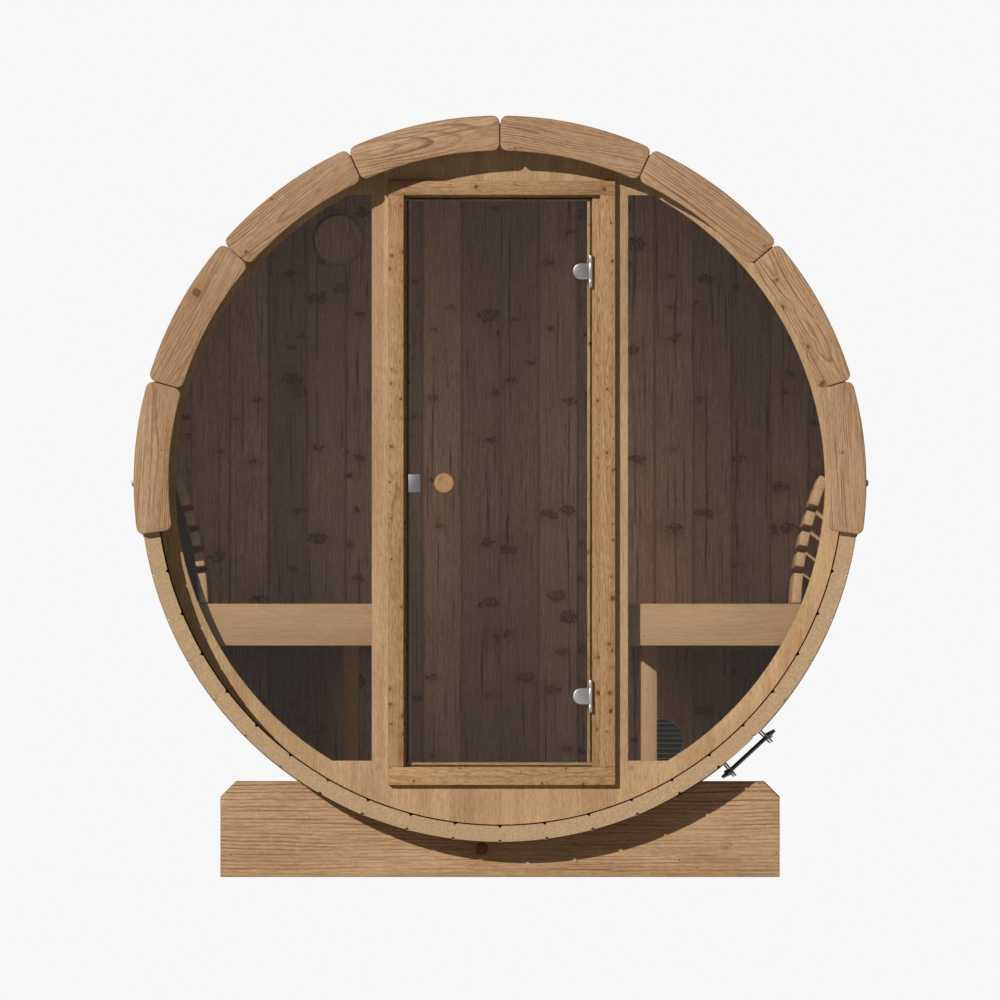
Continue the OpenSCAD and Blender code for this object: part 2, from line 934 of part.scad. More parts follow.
// Place children, drawn along Z about the origin, on the rod's middle line.
module on_rod(y) {
    at = polar(band_out_r + rod_up, -band_angle);
    translate([at.x, y, mid_z + at.y])
        rotate([0, band_angle, 0])
            children();
}

module band(y) {
    color(steel)
        difference() {
            slab(y - band_w / 2, y + band_w / 2)
                band_ring();
            on_rod(y)
                cylinder(h = rod_len, r = rod_r + rod_fit, center = true);
        }
}

module tightener(y) {
    // The lugs lean away from each other, so the nuts stand off by that slope
    nut_gap = 0.3;
    seat = lug_span / 2 + rod_up * tan(lug_a) + lug_t / 2 / cos(lug_a)
           + nut_across / 2 * tan(lug_a) + nut_gap;
    color(steel)
        on_rod(y) {
            cylinder(h = rod_len, r = rod_r, center = true);
            for (z = [seat, -seat - nut_h])
                translate([0, 0, z])
                    cylinder(h = nut_h, r = nut_across / 2 / cos(30), $fn = 6);
        }
}

stave_group(0);  // staves_1
stave_group(1);  // staves_2
stave_group(2);  // staves_3
stave_group(3);  // staves_4
stave_group(4);  // staves_5
stave_group(5);  // staves_6
stave_group(6);  // staves_7
stave_group(7);  // staves_8
trim(-end_y - trim_t);  // front_trim
trim(end_y);  // rear_trim
front_panel(mid_z - barrel_r, open_low);  // front_base_panel
front_panel(open_top, mid_z + barrel_r);  // front_head_panel
front_rim(-1);  // front_rim_left
front_rim(1);  // front_rim_right
front_post(-1);  // front_post_left
front_post(1);  // front_post_right
window_pane(-1);  // window_left
window_pane(1);  // window_right
door_jamb_left();
door_jamb_right();
door_head();
door_sill();
frame_hinge_leaves();
door_glass();
door_hinge_clamps();
door_knobs();
door_catch();
rear_boards(0, side_boards - 1);  // rear_wall_left
rear_boards(side_boards, right_board - 1);  // rear_wall_middle
rear_boards(right_board, board_count - 1);  // rear_wall_right
upper_vent_cover();
lower_vent_grille();
outer_vent_grilles();
floor_joists();
floor_boards();
bench_frame(-1);  // bench_frame_left
bench_frame(1);  // bench_frame_right
bench_legs(-1);  // bench_legs_left
bench_legs(1);  // bench_legs_right
bench_seat(-1);  // bench_seat_left
bench_seat(1);  // bench_seat_right
backrest(-1);  // backrest_left
backrest(1);  // backrest_right
cradle(-end_y + cradle_in);  // front_cradle
cradle(end_y - cradle_in - cradle_t);  // rear_cradle
band(-band_y);  // front_band
band(band_y);  // rear_band
tightener(-band_y);  // front_band_tightener
tightener(band_y);  // rear_band_tightener
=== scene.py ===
"""Barrel sauna: its looks, modelled round the fixed frame of its parts. Metres, Z up, front facing -Y."""

import math
import random
from types import SimpleNamespace

import bpy
import numpy as np
from mathutils import Matrix, Vector


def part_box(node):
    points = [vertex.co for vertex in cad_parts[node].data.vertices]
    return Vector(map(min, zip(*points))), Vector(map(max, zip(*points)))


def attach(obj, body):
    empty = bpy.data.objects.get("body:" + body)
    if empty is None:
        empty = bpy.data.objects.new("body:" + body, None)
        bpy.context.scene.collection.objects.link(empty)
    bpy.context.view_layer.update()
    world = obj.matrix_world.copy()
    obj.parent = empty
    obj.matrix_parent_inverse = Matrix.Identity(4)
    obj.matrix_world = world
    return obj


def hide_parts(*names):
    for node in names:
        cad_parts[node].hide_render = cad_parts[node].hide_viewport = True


bl_info = {
    "name": "Barrel Sauna",
    "version": (1, 0, 0),
    "blender": (4, 5, 0),
    "location": "View3D > Sidebar > Sauna",
    "description": "Models a barrel sauna with glazed front, benches, cradles and steel bands",
    "category": "Add Mesh",
}

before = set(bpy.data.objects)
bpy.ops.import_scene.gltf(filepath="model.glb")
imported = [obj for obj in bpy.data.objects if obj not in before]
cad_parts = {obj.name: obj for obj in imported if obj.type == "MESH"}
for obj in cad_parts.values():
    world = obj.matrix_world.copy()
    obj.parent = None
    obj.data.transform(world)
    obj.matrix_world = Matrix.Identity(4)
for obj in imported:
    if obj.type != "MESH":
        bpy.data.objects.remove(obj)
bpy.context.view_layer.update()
QUARTER = math.pi / 2
LEEWAY = 0.001              # room left when edges and faces are picked by their place
FINE = 0.00001              # the same, where neighbours lie close
FAR_OUT = 2.0               # longer than the whole barrel
OVER = 0.01                 # how far a cutter runs past the piece
ROUND, FINE_ROUND = 96, 256  # sides of a small and of a big circle
GLASS_FRONT, GLASS_MIDDLE, GLASS_BACK = -0.820, -0.816, -0.812
HANDLE_DROP = 0.003         # how far knobs and catch sit below the barrel's axis
SHADE_MARK = 2.0                  # arris mark of a surface painted in deep shade
ALONG_X, ALONG_Y, ALONG_Z = (1, 0, 0), (0, 1, 0), (0, 0, 1)
chance = random.Random(11)


# ---- Sizes and colours ----

def size(name, default, about):
    return bpy.props.FloatProperty(name=name, description=about, default=default, min=0.0, unit="LENGTH")


def turn(name, degrees, about):
    return bpy.props.FloatProperty(
        name=name, description=about, default=math.radians(degrees), unit="ROTATION")


def count(name, default, about):
    return bpy.props.IntProperty(name=name, description=about, default=default, min=1)


def colour(name, card, about):
    """Colour setting whose default is given as red, green and blue from 0 to 255."""
    return bpy.props.FloatVectorProperty(
        name=name, description=about, default=linear(*card), size=3, min=0.0, max=1.0, subtype="COLOR")


def linear(*card):
    """Linear colour of a card that is given from 0 to 255, by the usual screen curve."""
    full, foot, slope, offset, power = 255, 10, 12.92, 0.055, 2.4
    return tuple(v / full / slope if v <= foot else ((v / full + offset) / (1 + offset)) ** power
                 for v in card)


class BarrelSizes(bpy.types.PropertyGroup):
    radius: size("Radius", 1.02, "Outside radius of the ring of staves")
    length: size("Length", 1.8, "Length of the staves")
    middle: size("Middle height", 1.119, "Height of the barrel's axis")
    stave: size("Stave thickness", 0.046, "Thickness of a stave")
    staves: count("Staves", 48, "Number of staves round the barrel")
    bevel: size("Stave bevel", 0.0065, "Bevel along the joints between staves")
    bevel_in: size("Inner stave bevel", 0.006, "Bevel along the joints on the inside")
    gap: size("Stave gap", 0.0, "Gap between neighbouring staves, whose tongues fill it")
    groove: size("Groove radius", 0.9863, "Radius of the grooves that hold the end walls")
    trim_outer: size("Trim radius", 1.038, "Outer radius of the curved boards on the stave ends")
    trim_inner: size("Trim inner radius", 0.938, "Inner radius of the curved boards")
    trim: size("Trim thickness", 0.027, "Thickness of the curved boards")
    trims: count("Trim boards", 8, "Number of curved boards in one arch")
    drop: turn("Trim drop", 8.4, "How far the arch runs down past the horizontal")
    trim_gap: size("Trim gap", 0.0025, "Gap between two curved boards")
    corner: size("Trim corner", 0.02, "Radius of a curved board's corners")


class WallSizes(bpy.types.PropertyGroup):
    face: size("Wall face", 0.82, "Distance from the middle of the barrel to a wall's outer face")
    wall: size("Wall thickness", 0.042, "Thickness of both end walls")
    radius: size("Wall radius", 0.986, "Radius of the end walls in their grooves")
    open_low: size("Opening bottom", 0.33, "Height of the windows' lower edge")
    open_high: size("Opening top", 1.933, "Height of the windows' upper edge")
    window: size("Window radius", 0.921, "Radius of the windows' curved edge")
    window_in: size("Window edge", 0.3635, "Distance of a window's straight edge from the middle")
    lip: size("Window lip", 0.02, "Wood in front of a pane")
    lap: size("Pane lap", 0.012, "How far a pane runs behind the wood")
    board: size("Rear board", 0.111, "Width of a board of the rear wall")
    boards: count("Rear boards", 18, "Number of boards in the rear wall")
    duct: size("Duct radius", 0.052, "Radius of the holes for the vents")
    cover: size("Vent cover radius", 0.075, "Radius of the wooden cover over the upper vent")
    grille: size("Grille radius", 0.0645, "Radius of a vent grille")
    louvre: size("Louvre pitch", 0.0145, "Distance between the slats of a grille")


class DoorSizes(bpy.types.PropertyGroup):
    pin_x: size("Pin across", 0.2565, "Place of the hinge pins across the front")
    pin_front: size("Pin front", 0.828, "Distance of the hinge pins in front of the middle")
    hinge_low: size("Lower hinge", 0.512, "Height of the lower hinge")
    hinge_high: size("Upper hinge", 1.717, "Height of the upper hinge")
    hinge: size("Hinge height", 0.046, "Height of a hinge clamp")
    plate: size("Hinge plate", 0.091, "Height of the plate on the frame")
    knuckle: size("Knuckle radius", 0.006, "Radius of a hinge knuckle")
    pin: size("Pin radius", 0.003, "Radius of a hinge pin")
    knob: size("Knob radius", 0.029, "Radius of the turned knobs")
    knob_long: size("Knob length", 0.03, "How far a knob stands off the glass")
    arris: size("Frame arris", 0.002, "Rounding of the door frame's edges")


class BenchSizes(bpy.types.PropertyGroup):
    inside: size("Bench front", 0.349, "Distance of the benches' front faces from the middle")
    seat: size("Seat height", 0.775, "Height of the seats")
    end: size("Bench end", 0.769, "Distance of the benches' ends from the middle")
    slat: size("Slat thickness", 0.027, "Thickness of seat and back slats")
    apron: size("Apron height", 0.119, "Height of the aprons")
    apron_thick: size("Apron thickness", 0.028, "Thickness of the aprons")
    slats: count("Seat slats", 5, "Number of slats in a seat")
    gap: size("Seat gap", 0.012, "Gap between the slats of a seat")
    back_gap: size("Back gap", 0.0195, "Gap between the slats of a backrest")
    floor: size("Floor height", 0.29, "Height of the floor boards' top")
    reach: size("Reach", 0.9737, "Radius to which benches and floor run out to the staves")


class BaseSizes(bpy.types.PropertyGroup):
    half: size("Cradle half width", 0.793, "Half the width of a cradle")
    height: size("Cradle height", 0.272, "Height of a cradle's ends")
    thick: size("Cradle thickness", 0.046, "Thickness of a cradle")
    front: size("Cradle place", 0.785, "Distance of a cradle's outer face from the middle")
    cut: size("Cradle corner", 0.044, "Size of the cut corners")
    band_at: size("Band place", 0.56, "Distance of the steel bands from the middle")
    band: size("Band width", 0.03, "Width of a band")
    band_inner: size("Band inner radius", 1.0203, "Inner radius of a band")
    band_outer: size("Band outer radius", 1.0228, "Outer radius of a band")
    lug_angle: turn("Tightener place", 47.3, "How far down the right side the tighteners sit")
    lug_span: size("Lug span", 0.136, "Distance between the lugs of a tightener")
    rod: size("Rod radius", 0.00575, "Radius of a threaded rod")
    rod_long: size("Rod length", 0.195, "Length of a threaded rod")
    thread: size("Thread pitch", 0.002, "Pitch of the rods' thread")


class SaunaColours(bpy.types.PropertyGroup):
    stave: colour("Stave wood", (184, 150, 113), "Pale softwood of the staves")
    trim: colour("Trim wood", (190, 154, 118), "Softwood of the curved boards")
    front: colour("Front wood", (190, 158, 118), "Pale softwood of the front wall")
    casing: colour("Casing wood", (181, 144, 103), "Knotty softwood of the door frame")
    rear: colour("Rear wood", (178, 141, 119), "Stained boards of the rear wall")
    bench: colour("Bench wood", (201, 158, 119), "Clear wood of the benches")
    cradle: colour("Cradle wood", (193, 157, 119), "Softwood of the cradles")
    knob: colour("Knob wood", (178, 138, 96), "Turned wood of the knobs")
    steel: colour("Hinge steel", (168, 166, 162), "Satin steel of hinges and catch")
    catch: colour("Catch steel", (126, 123, 129), "Brushed steel of the catch plate")
    strap: colour("Band steel", (120, 118, 112), "Galvanised steel of the bands")
    rod: colour("Rod steel", (104, 106, 106), "Dark steel of the threaded rods")
    vent: colour("Vent metal", (52, 54, 52), "Dark paint of the vent grilles")
    floor: colour("Studio floor", (247, 247, 247), "Plain floor and surroundings")


GROUPS = {"barrel": BarrelSizes, "wall": WallSizes, "door": DoorSizes,
          "bench": BenchSizes, "base": BaseSizes, "colours": SaunaColours}


class SaunaSettings(bpy.types.PropertyGroup):
    barrel: bpy.props.PointerProperty(type=BarrelSizes, name="Barrel", description="Staves and end trim")
    wall: bpy.props.PointerProperty(type=WallSizes, name="Walls", description="End walls, windows and vents")
    door: bpy.props.PointerProperty(type=DoorSizes, name="Door", description="Door and its hardware")
    bench: bpy.props.PointerProperty(type=BenchSizes, name="Benches", description="Benches and floor")
    base: bpy.props.PointerProperty(type=BaseSizes, name="Base", description="Cradles and steel bands")
    colours: bpy.props.PointerProperty(type=SaunaColours, name="Colours", description="Finish colours")


def settings():
    return bpy.context.scene.sauna


# ---- Bench work: starting, cutting, easing and joining pieces ----

def pick(*pieces):
    """Leaves edit mode and selects only these pieces."""
    if bpy.context.object is not None and bpy.context.object.mode != "OBJECT":
        bpy.ops.object.mode_set(mode="OBJECT")
    bpy.ops.object.select_all(action="DESELECT")
    for piece in pieces:
        piece.select_set(True)
    bpy.context.view_layer.objects.active = pieces[0] if pieces else None


def settle(name):
    """Names the new piece and puts its place into its mesh."""
    piece = bpy.context.object
    piece.name = piece.data.name = name
    bpy.ops.object.transform_apply(location=True, rotation=True, scale=True)
    return piece


def block(name, low, high):
    """Squared piece between two corners."""
    low, high = Vector(low), Vector(high)
    pick()
    bpy.ops.mesh.primitive_cube_add(size=1, location=(low + high) / 2, scale=high - low)
    return settle(name)


def round_bar(name, centre, radius, length, axis="Y", sides=48):
    """Round piece about an axis, such as a bar, disc or drill."""
    lay = {"X": (0, QUARTER, 0), "Y": (QUARTER, 0, 0), "Z": (0, 0, 0)}[axis]
    pick()
    bpy.ops.mesh.primitive_cylinder_add(
        vertices=sides, radius=radius, depth=length, location=centre, rotation=lay)
    return settle(name)


def turned_about(centre, angle):
    """Turn about an axis along Y, from +X up towards +Z."""
    place = Matrix.Translation((centre[0], 0, centre[1]))
    return place @ Matrix.Rotation(-angle, 4, "Y") @ place.inverted()


def edit(piece, kind):
    """Opens a piece in edit mode for picked vertices, edges or faces."""
    pick(piece)
    bpy.context.tool_settings.mesh_select_mode = [kind == k for k in ("VERT", "EDGE", "FACE")]
    bpy.ops.object.mode_set(mode="EDIT")


def close(piece):
    """Leaves edit mode."""
    bpy.ops.object.mode_set(mode="OBJECT")
    return piece


def clean(piece, merge=0.00002):
    """Merges doubles and turns all faces outwards."""
    edit(piece, "VERT")
    bpy.ops.mesh.select_all(action="SELECT")
    bpy.ops.mesh.remove_doubles(threshold=merge)
    bpy.ops.mesh.normals_make_consistent(inside=False)
    return close(piece)


def curved_board(name, centre, radii, angles, reach, steps):
    """Board bent about an axis along Y: between two radii, two angles and two ends."""
    (inner, outer), (start, end), (front, back) = radii, angles, reach
    pick()
    bpy.ops.mesh.primitive_plane_add(
        size=1, location=(centre[0] + (inner + outer) / 2, (front + back) / 2, centre[1]))
    bpy.context.object.scale = (outer - inner, back - front, 1)
    bent = settle(name)
    bent.data.transform(turned_about(centre, start))
    edit(bent, "FACE")
    bpy.ops.mesh.select_all(action="SELECT")
    bpy.ops.mesh.spin(steps=steps, angle=end - start, center=(centre[0], 0, centre[1]), axis=(0, 1, 0))
    close(bent)
    return clean(bent)


def drop(piece):
    """Throws a piece away."""
    mesh = piece.data
    bpy.data.objects.remove(piece)
    bpy.data.meshes.remove(mesh)


def cut(piece, tool, operation="DIFFERENCE"):
    """Cuts a piece with a tool, or keeps what lies inside it, and throws the tool away."""
    pick(piece)
    cutter = piece.modifiers.new("cutter", "BOOLEAN")
    cutter.operation, cutter.solver, cutter.object = operation, "EXACT", tool
    bpy.ops.object.modifier_apply(modifier=cutter.name)
    drop(tool)
    if not piece.data.polygons:
        raise RuntimeError(f"The cut left nothing of {piece.name}")
    return piece


def mark_arris(piece, flags):
    """Remembers eased faces, which get a little painted shade up to 1, and above 1 deep painted shade."""
    mark = piece.data.attributes.get("arris")
    before = np.zeros(len(piece.data.polygons), np.float32)
    if mark is None:
        mark = piece.data.attributes.new("arris", "FLOAT", "FACE")
    else:
        mark.data.foreach_get("value", before)
    mark.data.foreach_set("value", np.maximum(before, flags))


def mark_faces(piece, rule):
    """Marks each face by what rule(middle, normal) gives it."""
    mark_arris(piece, np.array([rule(f.center, f.normal) for f in piece.data.polygons], np.float32))


def unmark(piece):
    """Forgets the faces marked so far."""
    piece.data.attributes.remove(piece.data.attributes["arris"])


def ease(piece, width, segments=2, sharp=40, where=None):
    """Rounds or chamfers a piece's sharp edges, or those that where(start, end) names."""
    mesh = piece.data
    if where is not None:
        pick(piece)
        for group in (mesh.vertices, mesh.polygons):
            group.foreach_set("select", [False] * len(group))
        mesh.edges.foreach_set(
            "select", [bool(where(*(mesh.vertices[i].co for i in e.vertices))) for e in mesh.edges])
    edit(piece, "EDGE")
    if where is None:
        bpy.ops.mesh.select_all(action="DESELECT")
        bpy.ops.mesh.edges_select_sharp(sharpness=math.radians(sharp))
    bpy.ops.mesh.bevel(offset=width, segments=segments, affect="EDGES", clamp_overlap=True)
    close(piece)
    mark_arris(piece, np.array([f.select and narrow(mesh, f, width) for f in mesh.polygons], np.float32))
    return piece


def narrow(mesh, face, width, spare=1.7):
    """Whether a face is a strip about as wide as the easing."""
    corners = [mesh.vertices[i].co for i in face.vertices]
    round_it = sum((a - b).length for a, b in zip(corners, corners[1:] + corners[:1]))
    return 2 * face.area < spare * width * round_it


def work_face(piece, where, *steps):
    """Insets or extrudes the faces that where(middle, normal) names, one step after another."""
    mesh = piece.data
    pick(piece)
    for group in (mesh.vertices, mesh.edges):
        group.foreach_set("select", [False] * len(group))
    mesh.polygons.foreach_set("select", [bool(where(f.center, f.normal)) for f in mesh.polygons])
    edit(piece, "FACE")
    for kind, amount in steps:
        if kind == "inset":
            bpy.ops.mesh.inset(thickness=amount, depth=0)
        elif kind == "move":
            bpy.ops.mesh.extrude_region_move(TRANSFORM_OT_translate={"value": amount})
        else:
            bpy.ops.transform.resize(value=amount)
    return close(piece)


def copied(piece, matrix):
    """Copy with its own mesh, moved by a matrix. A mirrored copy keeps its faces outwards."""
    twin = piece.copy()
    twin.data = piece.data.copy()
    bpy.context.collection.objects.link(twin)
    twin.data.transform(matrix)
    if matrix.determinant() < 0:
        twin.data.flip_normals()
    return twin


def joined(name, pieces):
    """Makes one named piece of several."""
    pick(*pieces)
    if len(pieces) > 1:
        bpy.ops.object.join()
    piece = bpy.context.object
    piece.name = piece.data.name = name
    return piece


def shift(x=0, y=0, z=0):
    """Matrix that moves a piece."""
    return Matrix.Translation((x, y, z))


def lay_grain(piece, along, across, square=0.85):
    """Gives a piece its wood coordinates: along the grain, across it and through it."""
    mesh = piece.data
    rows = Matrix((Vector(along), Vector(across), Vector(along).cross(Vector(across))))
    place = np.zeros(len(mesh.vertices) * 3, np.float32)
    mesh.vertices.foreach_get("co", place)
    place = place.reshape(-1, 3)
    middle = (place.min(0) + place.max(0)) / 2
    wood = (place - middle) @ np.array(rows, np.float32).T
    grain = mesh.attributes.get("grain") or mesh.attributes.new("grain", "FLOAT_VECTOR", "POINT")
    grain.data.foreach_set("vector", wood.astype(np.float32).ravel())
    facing = np.zeros(len(mesh.polygons) * 3, np.float32)
    mesh.polygons.foreach_get("normal", facing)
    across_grain = np.abs(facing.reshape(-1, 3) @ np.array(rows[0], np.float32)) > square
    sawn = mesh.attributes.get("sawn_end") or mesh.attributes.new("sawn_end", "FLOAT", "FACE")
    sawn.data.foreach_set("value", across_grain.astype(np.float32))
    return vary(piece)


def vary(piece, side=(-0.05, 0.05), deep=(0.03, 0.11), length=(-30, 30)):
    """Takes the piece from another place of another log, and gives it its own tone."""
    mesh = piece.data
    grain = mesh.attributes["grain"]
    wood = np.zeros(len(mesh.vertices) * 3, np.float32)
    grain.data.foreach_get("vector", wood)
    wood = wood.reshape(-1, 3)
    wood -= (wood.min(0) + wood.max(0)) / 2
    wood *= [chance.choice((-1, 1)), chance.choice((-1, 1)), 1]
    wood += [chance.uniform(*length), chance.uniform(*side), chance.uniform(*deep)]
    grain.data.foreach_set("vector", wood.ravel())
    tone = mesh.attributes.get("tone") or mesh.attributes.new("tone", "FLOAT", "POINT")
    tone.data.foreach_set("value", [chance.random()] * len(mesh.vertices))
    return piece


def cut_round(piece, middle, reach):
    """Cuts a piece round where it runs out to the staves."""
    return cut(piece, round_bar("reach", (0, 0, middle), reach, FAR_OUT, sides=FINE_ROUND), "INTERSECT")


def board(name, low, high, along, across, arris=0.002, reach=None):
    """Squared board with eased edges, cut round where it runs out to the staves."""
    made = block(name, low, high)
    if reach:
        cut_round(made, settings().barrel.middle, reach)
    if arris:
        ease(made, arris)
    return lay_grain(made, along, across)


def finish(piece, material, slot, *nodes, body="root", smooth=35):
    """Smooths and paints a piece, and hangs it on its body in place of its nodes."""
    pick(piece)
    bpy.ops.object.shade_smooth_by_angle(angle=math.radians(smooth))
    piece.data.materials.clear()
    piece.data.materials.append(material)
    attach(piece, body)
    if nodes:
        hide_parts(*nodes)
    return piece


# ---- Finishes ----

class Nodes:
    """Short ways to add shader nodes to a tree."""

    def __init__(self, tree):
        self.tree = tree

    def feed(self, socket, value):
        if isinstance(value, bpy.types.NodeSocket):
            self.tree.links.new(value, socket)
        elif isinstance(value, tuple) and len(value) == 3 and socket.type == "RGBA":
            socket.default_value = (*value, 1)
        else:
            socket.default_value = value

    def add(self, kind, sockets=None, **choices):
        node = self.tree.nodes.new("ShaderNode" + kind)
        for key, value in choices.items():
            setattr(node, key, value)
        for key, value in (sockets or {}).items():
            self.feed(node.inputs[key], value)
        return node

    def calc(self, operation, first, second=0.0, third=0.0, clamp=False):
        return self.add("Math", {0: first, 1: second, 2: third},
                        operation=operation, use_clamp=clamp).outputs[0]

    def times(self, first, second):
        return self.calc("MULTIPLY", first, second)

    def wander(self, value, noise, amount):
        """Moves a value to both sides by a noise that runs from 0 to 1."""
        return self.calc("MULTIPLY_ADD", self.calc("SUBTRACT", noise, 0.5), amount, value)

    def parts(self, colour):
        return self.add("SeparateColor", {0: colour}).outputs[:3]

    def vector(self, x, y, z=0.0):
        return self.add("CombineXYZ", {0: x, 1: y, 2: z}).outputs[0]

    def mix(self, share, first, second, blend="MIX"):
        node = self.add("Mix", data_type="RGBA", blend_type=blend, clamp_factor=True)
        for index, value in ((0, share), (6, first), (7, second)):
            self.feed(node.inputs[index], value)
        return node.outputs[2]

    def noise(self, place, scale=1.0, detail=2.0, rough=0.5):
        return self.add("TexNoise", {"Vector": place, "Scale": scale, "Detail": detail, "Roughness": rough})

    def scaled(self, place, x, y, z):
        return self.add("VectorMath", {0: place, 1: (x, y, z)}, operation="MULTIPLY").outputs[0]

    def between(self, value, low, high, to_low=0.0, to_high=1.0):
        return self.add("MapRange", {"Value": value, "From Min": low, "From Max": high,
                                     "To Min": to_low, "To Max": to_high}, clamp=True).outputs[0]


class Finish(Nodes):
    """One material on the usual shader."""

    def __init__(self, name):
        self.material = bpy.data.materials.new(name)
        self.material.use_nodes = True
        super().__init__(self.material.node_tree)
        self.shader = self.tree.nodes["Principled BSDF"]

    def mark(self, name):
        """What the piece itself tells of a place, by the name of its attribute."""
        return self.add("Attribute", attribute_name=name).outputs["Fac"]

    def surface(self, colour, roughness, height=None, depth=0.0005, strength=0.5, **plain):
        """Joins colour, roughness and bump to the shader. Plain values go straight on its sockets."""
        self.feed(self.shader.inputs["Base Color"], colour)
        self.feed(self.shader.inputs["Roughness"], roughness)
        if height is not None:
            bump = self.add("Bump", {"Height": height, "Strength": strength, "Distance": depth})
            self.tree.links.new(bump.outputs[0], self.shader.inputs["Normal"])
        for name, value in plain.items():
            self.shader.inputs[name.replace("_", " ").title().replace("Ior", "IOR")].default_value = value
        return self.material


def shade(colour, factor):
    """Darker or lighter shade of a colour, by a factor for red, green and blue."""
    return tuple(v * f for v, f in zip(colour, factor))


# What a recipe for softwood may say. Lengths are in metres, shares and strengths run from 0 to 1.
PLAIN_TIMBER = dict(
    pitch=0.005,                # from one growth ring to the next
    contrast=0.6,               # strength of the dark late wood
    late=(0.5, 0.38, 0.27),     # shade of the late wood
    sway=0.03,                  # how far the rings wander
    knots=0.5,                  # share of the places that hold a knot
    knot_share=8.0,             # places for knots in a metre
    knot_size=(0.002, 0.009),   # smallest and biggest radius
    wide=1.0,                   # how much wider than long a knot is
    torn=0.3,                   # raggedness of the knots
    specks=0.03,                # share of the places that hold a pin knot
    lamella=0.0,                # width of the strips it is glued from, 0 for one board
    streaks=0.0,                # strength of the row of knots and of the crack through it
    fibre=0.3,                  # strength of the long threads
    fleck=0.3,                  # strength of the short flecks
    crack=0.2,                  # strength of the hair cracks
    blotch=0.5,                 # strength of the soft clouds
    apart=0.16,                 # how far the boards' tones differ
    end=(1.0, 1.0, 1.0),        # shade of the end grain
)

# How often a pattern repeats in a metre along, across and through the grain, its detail and its roughness
PATTERNS = {
    "flow": ((1.7, 4.0, 4.0), 2.0, 0.5),
    "ripple": ((70, 70, 70), 1.0, 0.5),
    "tear": ((150, 190, 190), 2.0, 0.5),
    "fade": ((2.3, 9, 9), 1.5, 0.5),
    "threads": ((6, 230, 230), 2.5, 0.7),
    "flecks": ((45, 280, 280), 1.5, 0.7),
    "cloud": ((2.6, 13, 13), 3.0, 0.5),
    "cracks": ((3.2, 210, 210), 2.0, 0.6),
    "tail": ((4.5, 110, 30), 3.0, 0.5),
    "pores": ((60, 160, 160), 3.0, 0.7),
}

# Shades of the wood, as factors for its red, green and blue
CLOUD, SUNNY = (0.86, 0.76, 0.66), (1.14, 1.13, 1.06)
THREAD, CRACK = (0.52, 0.41, 0.31), (0.34, 0.22, 0.14)
DARK_FLECK, PALE_FLECK = (0.56, 0.44, 0.33), (1.25, 1.24, 1.2)
TAIL, SPLIT = (0.3, 0.24, 0.22), (0.2, 0.16, 0.15)
HALO, RED_KNOT, BLACK_KNOT = (0.66, 0.44, 0.3), (0.38, 0.21, 0.12), (0.16, 0.09, 0.06)
# The second and third of these are painted shade: a light one on eased edges, a near-black one on faces
# marked above 1
PIN_KNOT, EDGE_SHADE, DEEP_SHADE = (0.24, 0.13, 0.08), (0.66, 0.6, 0.54), (0.075, 0.04, 0.03)


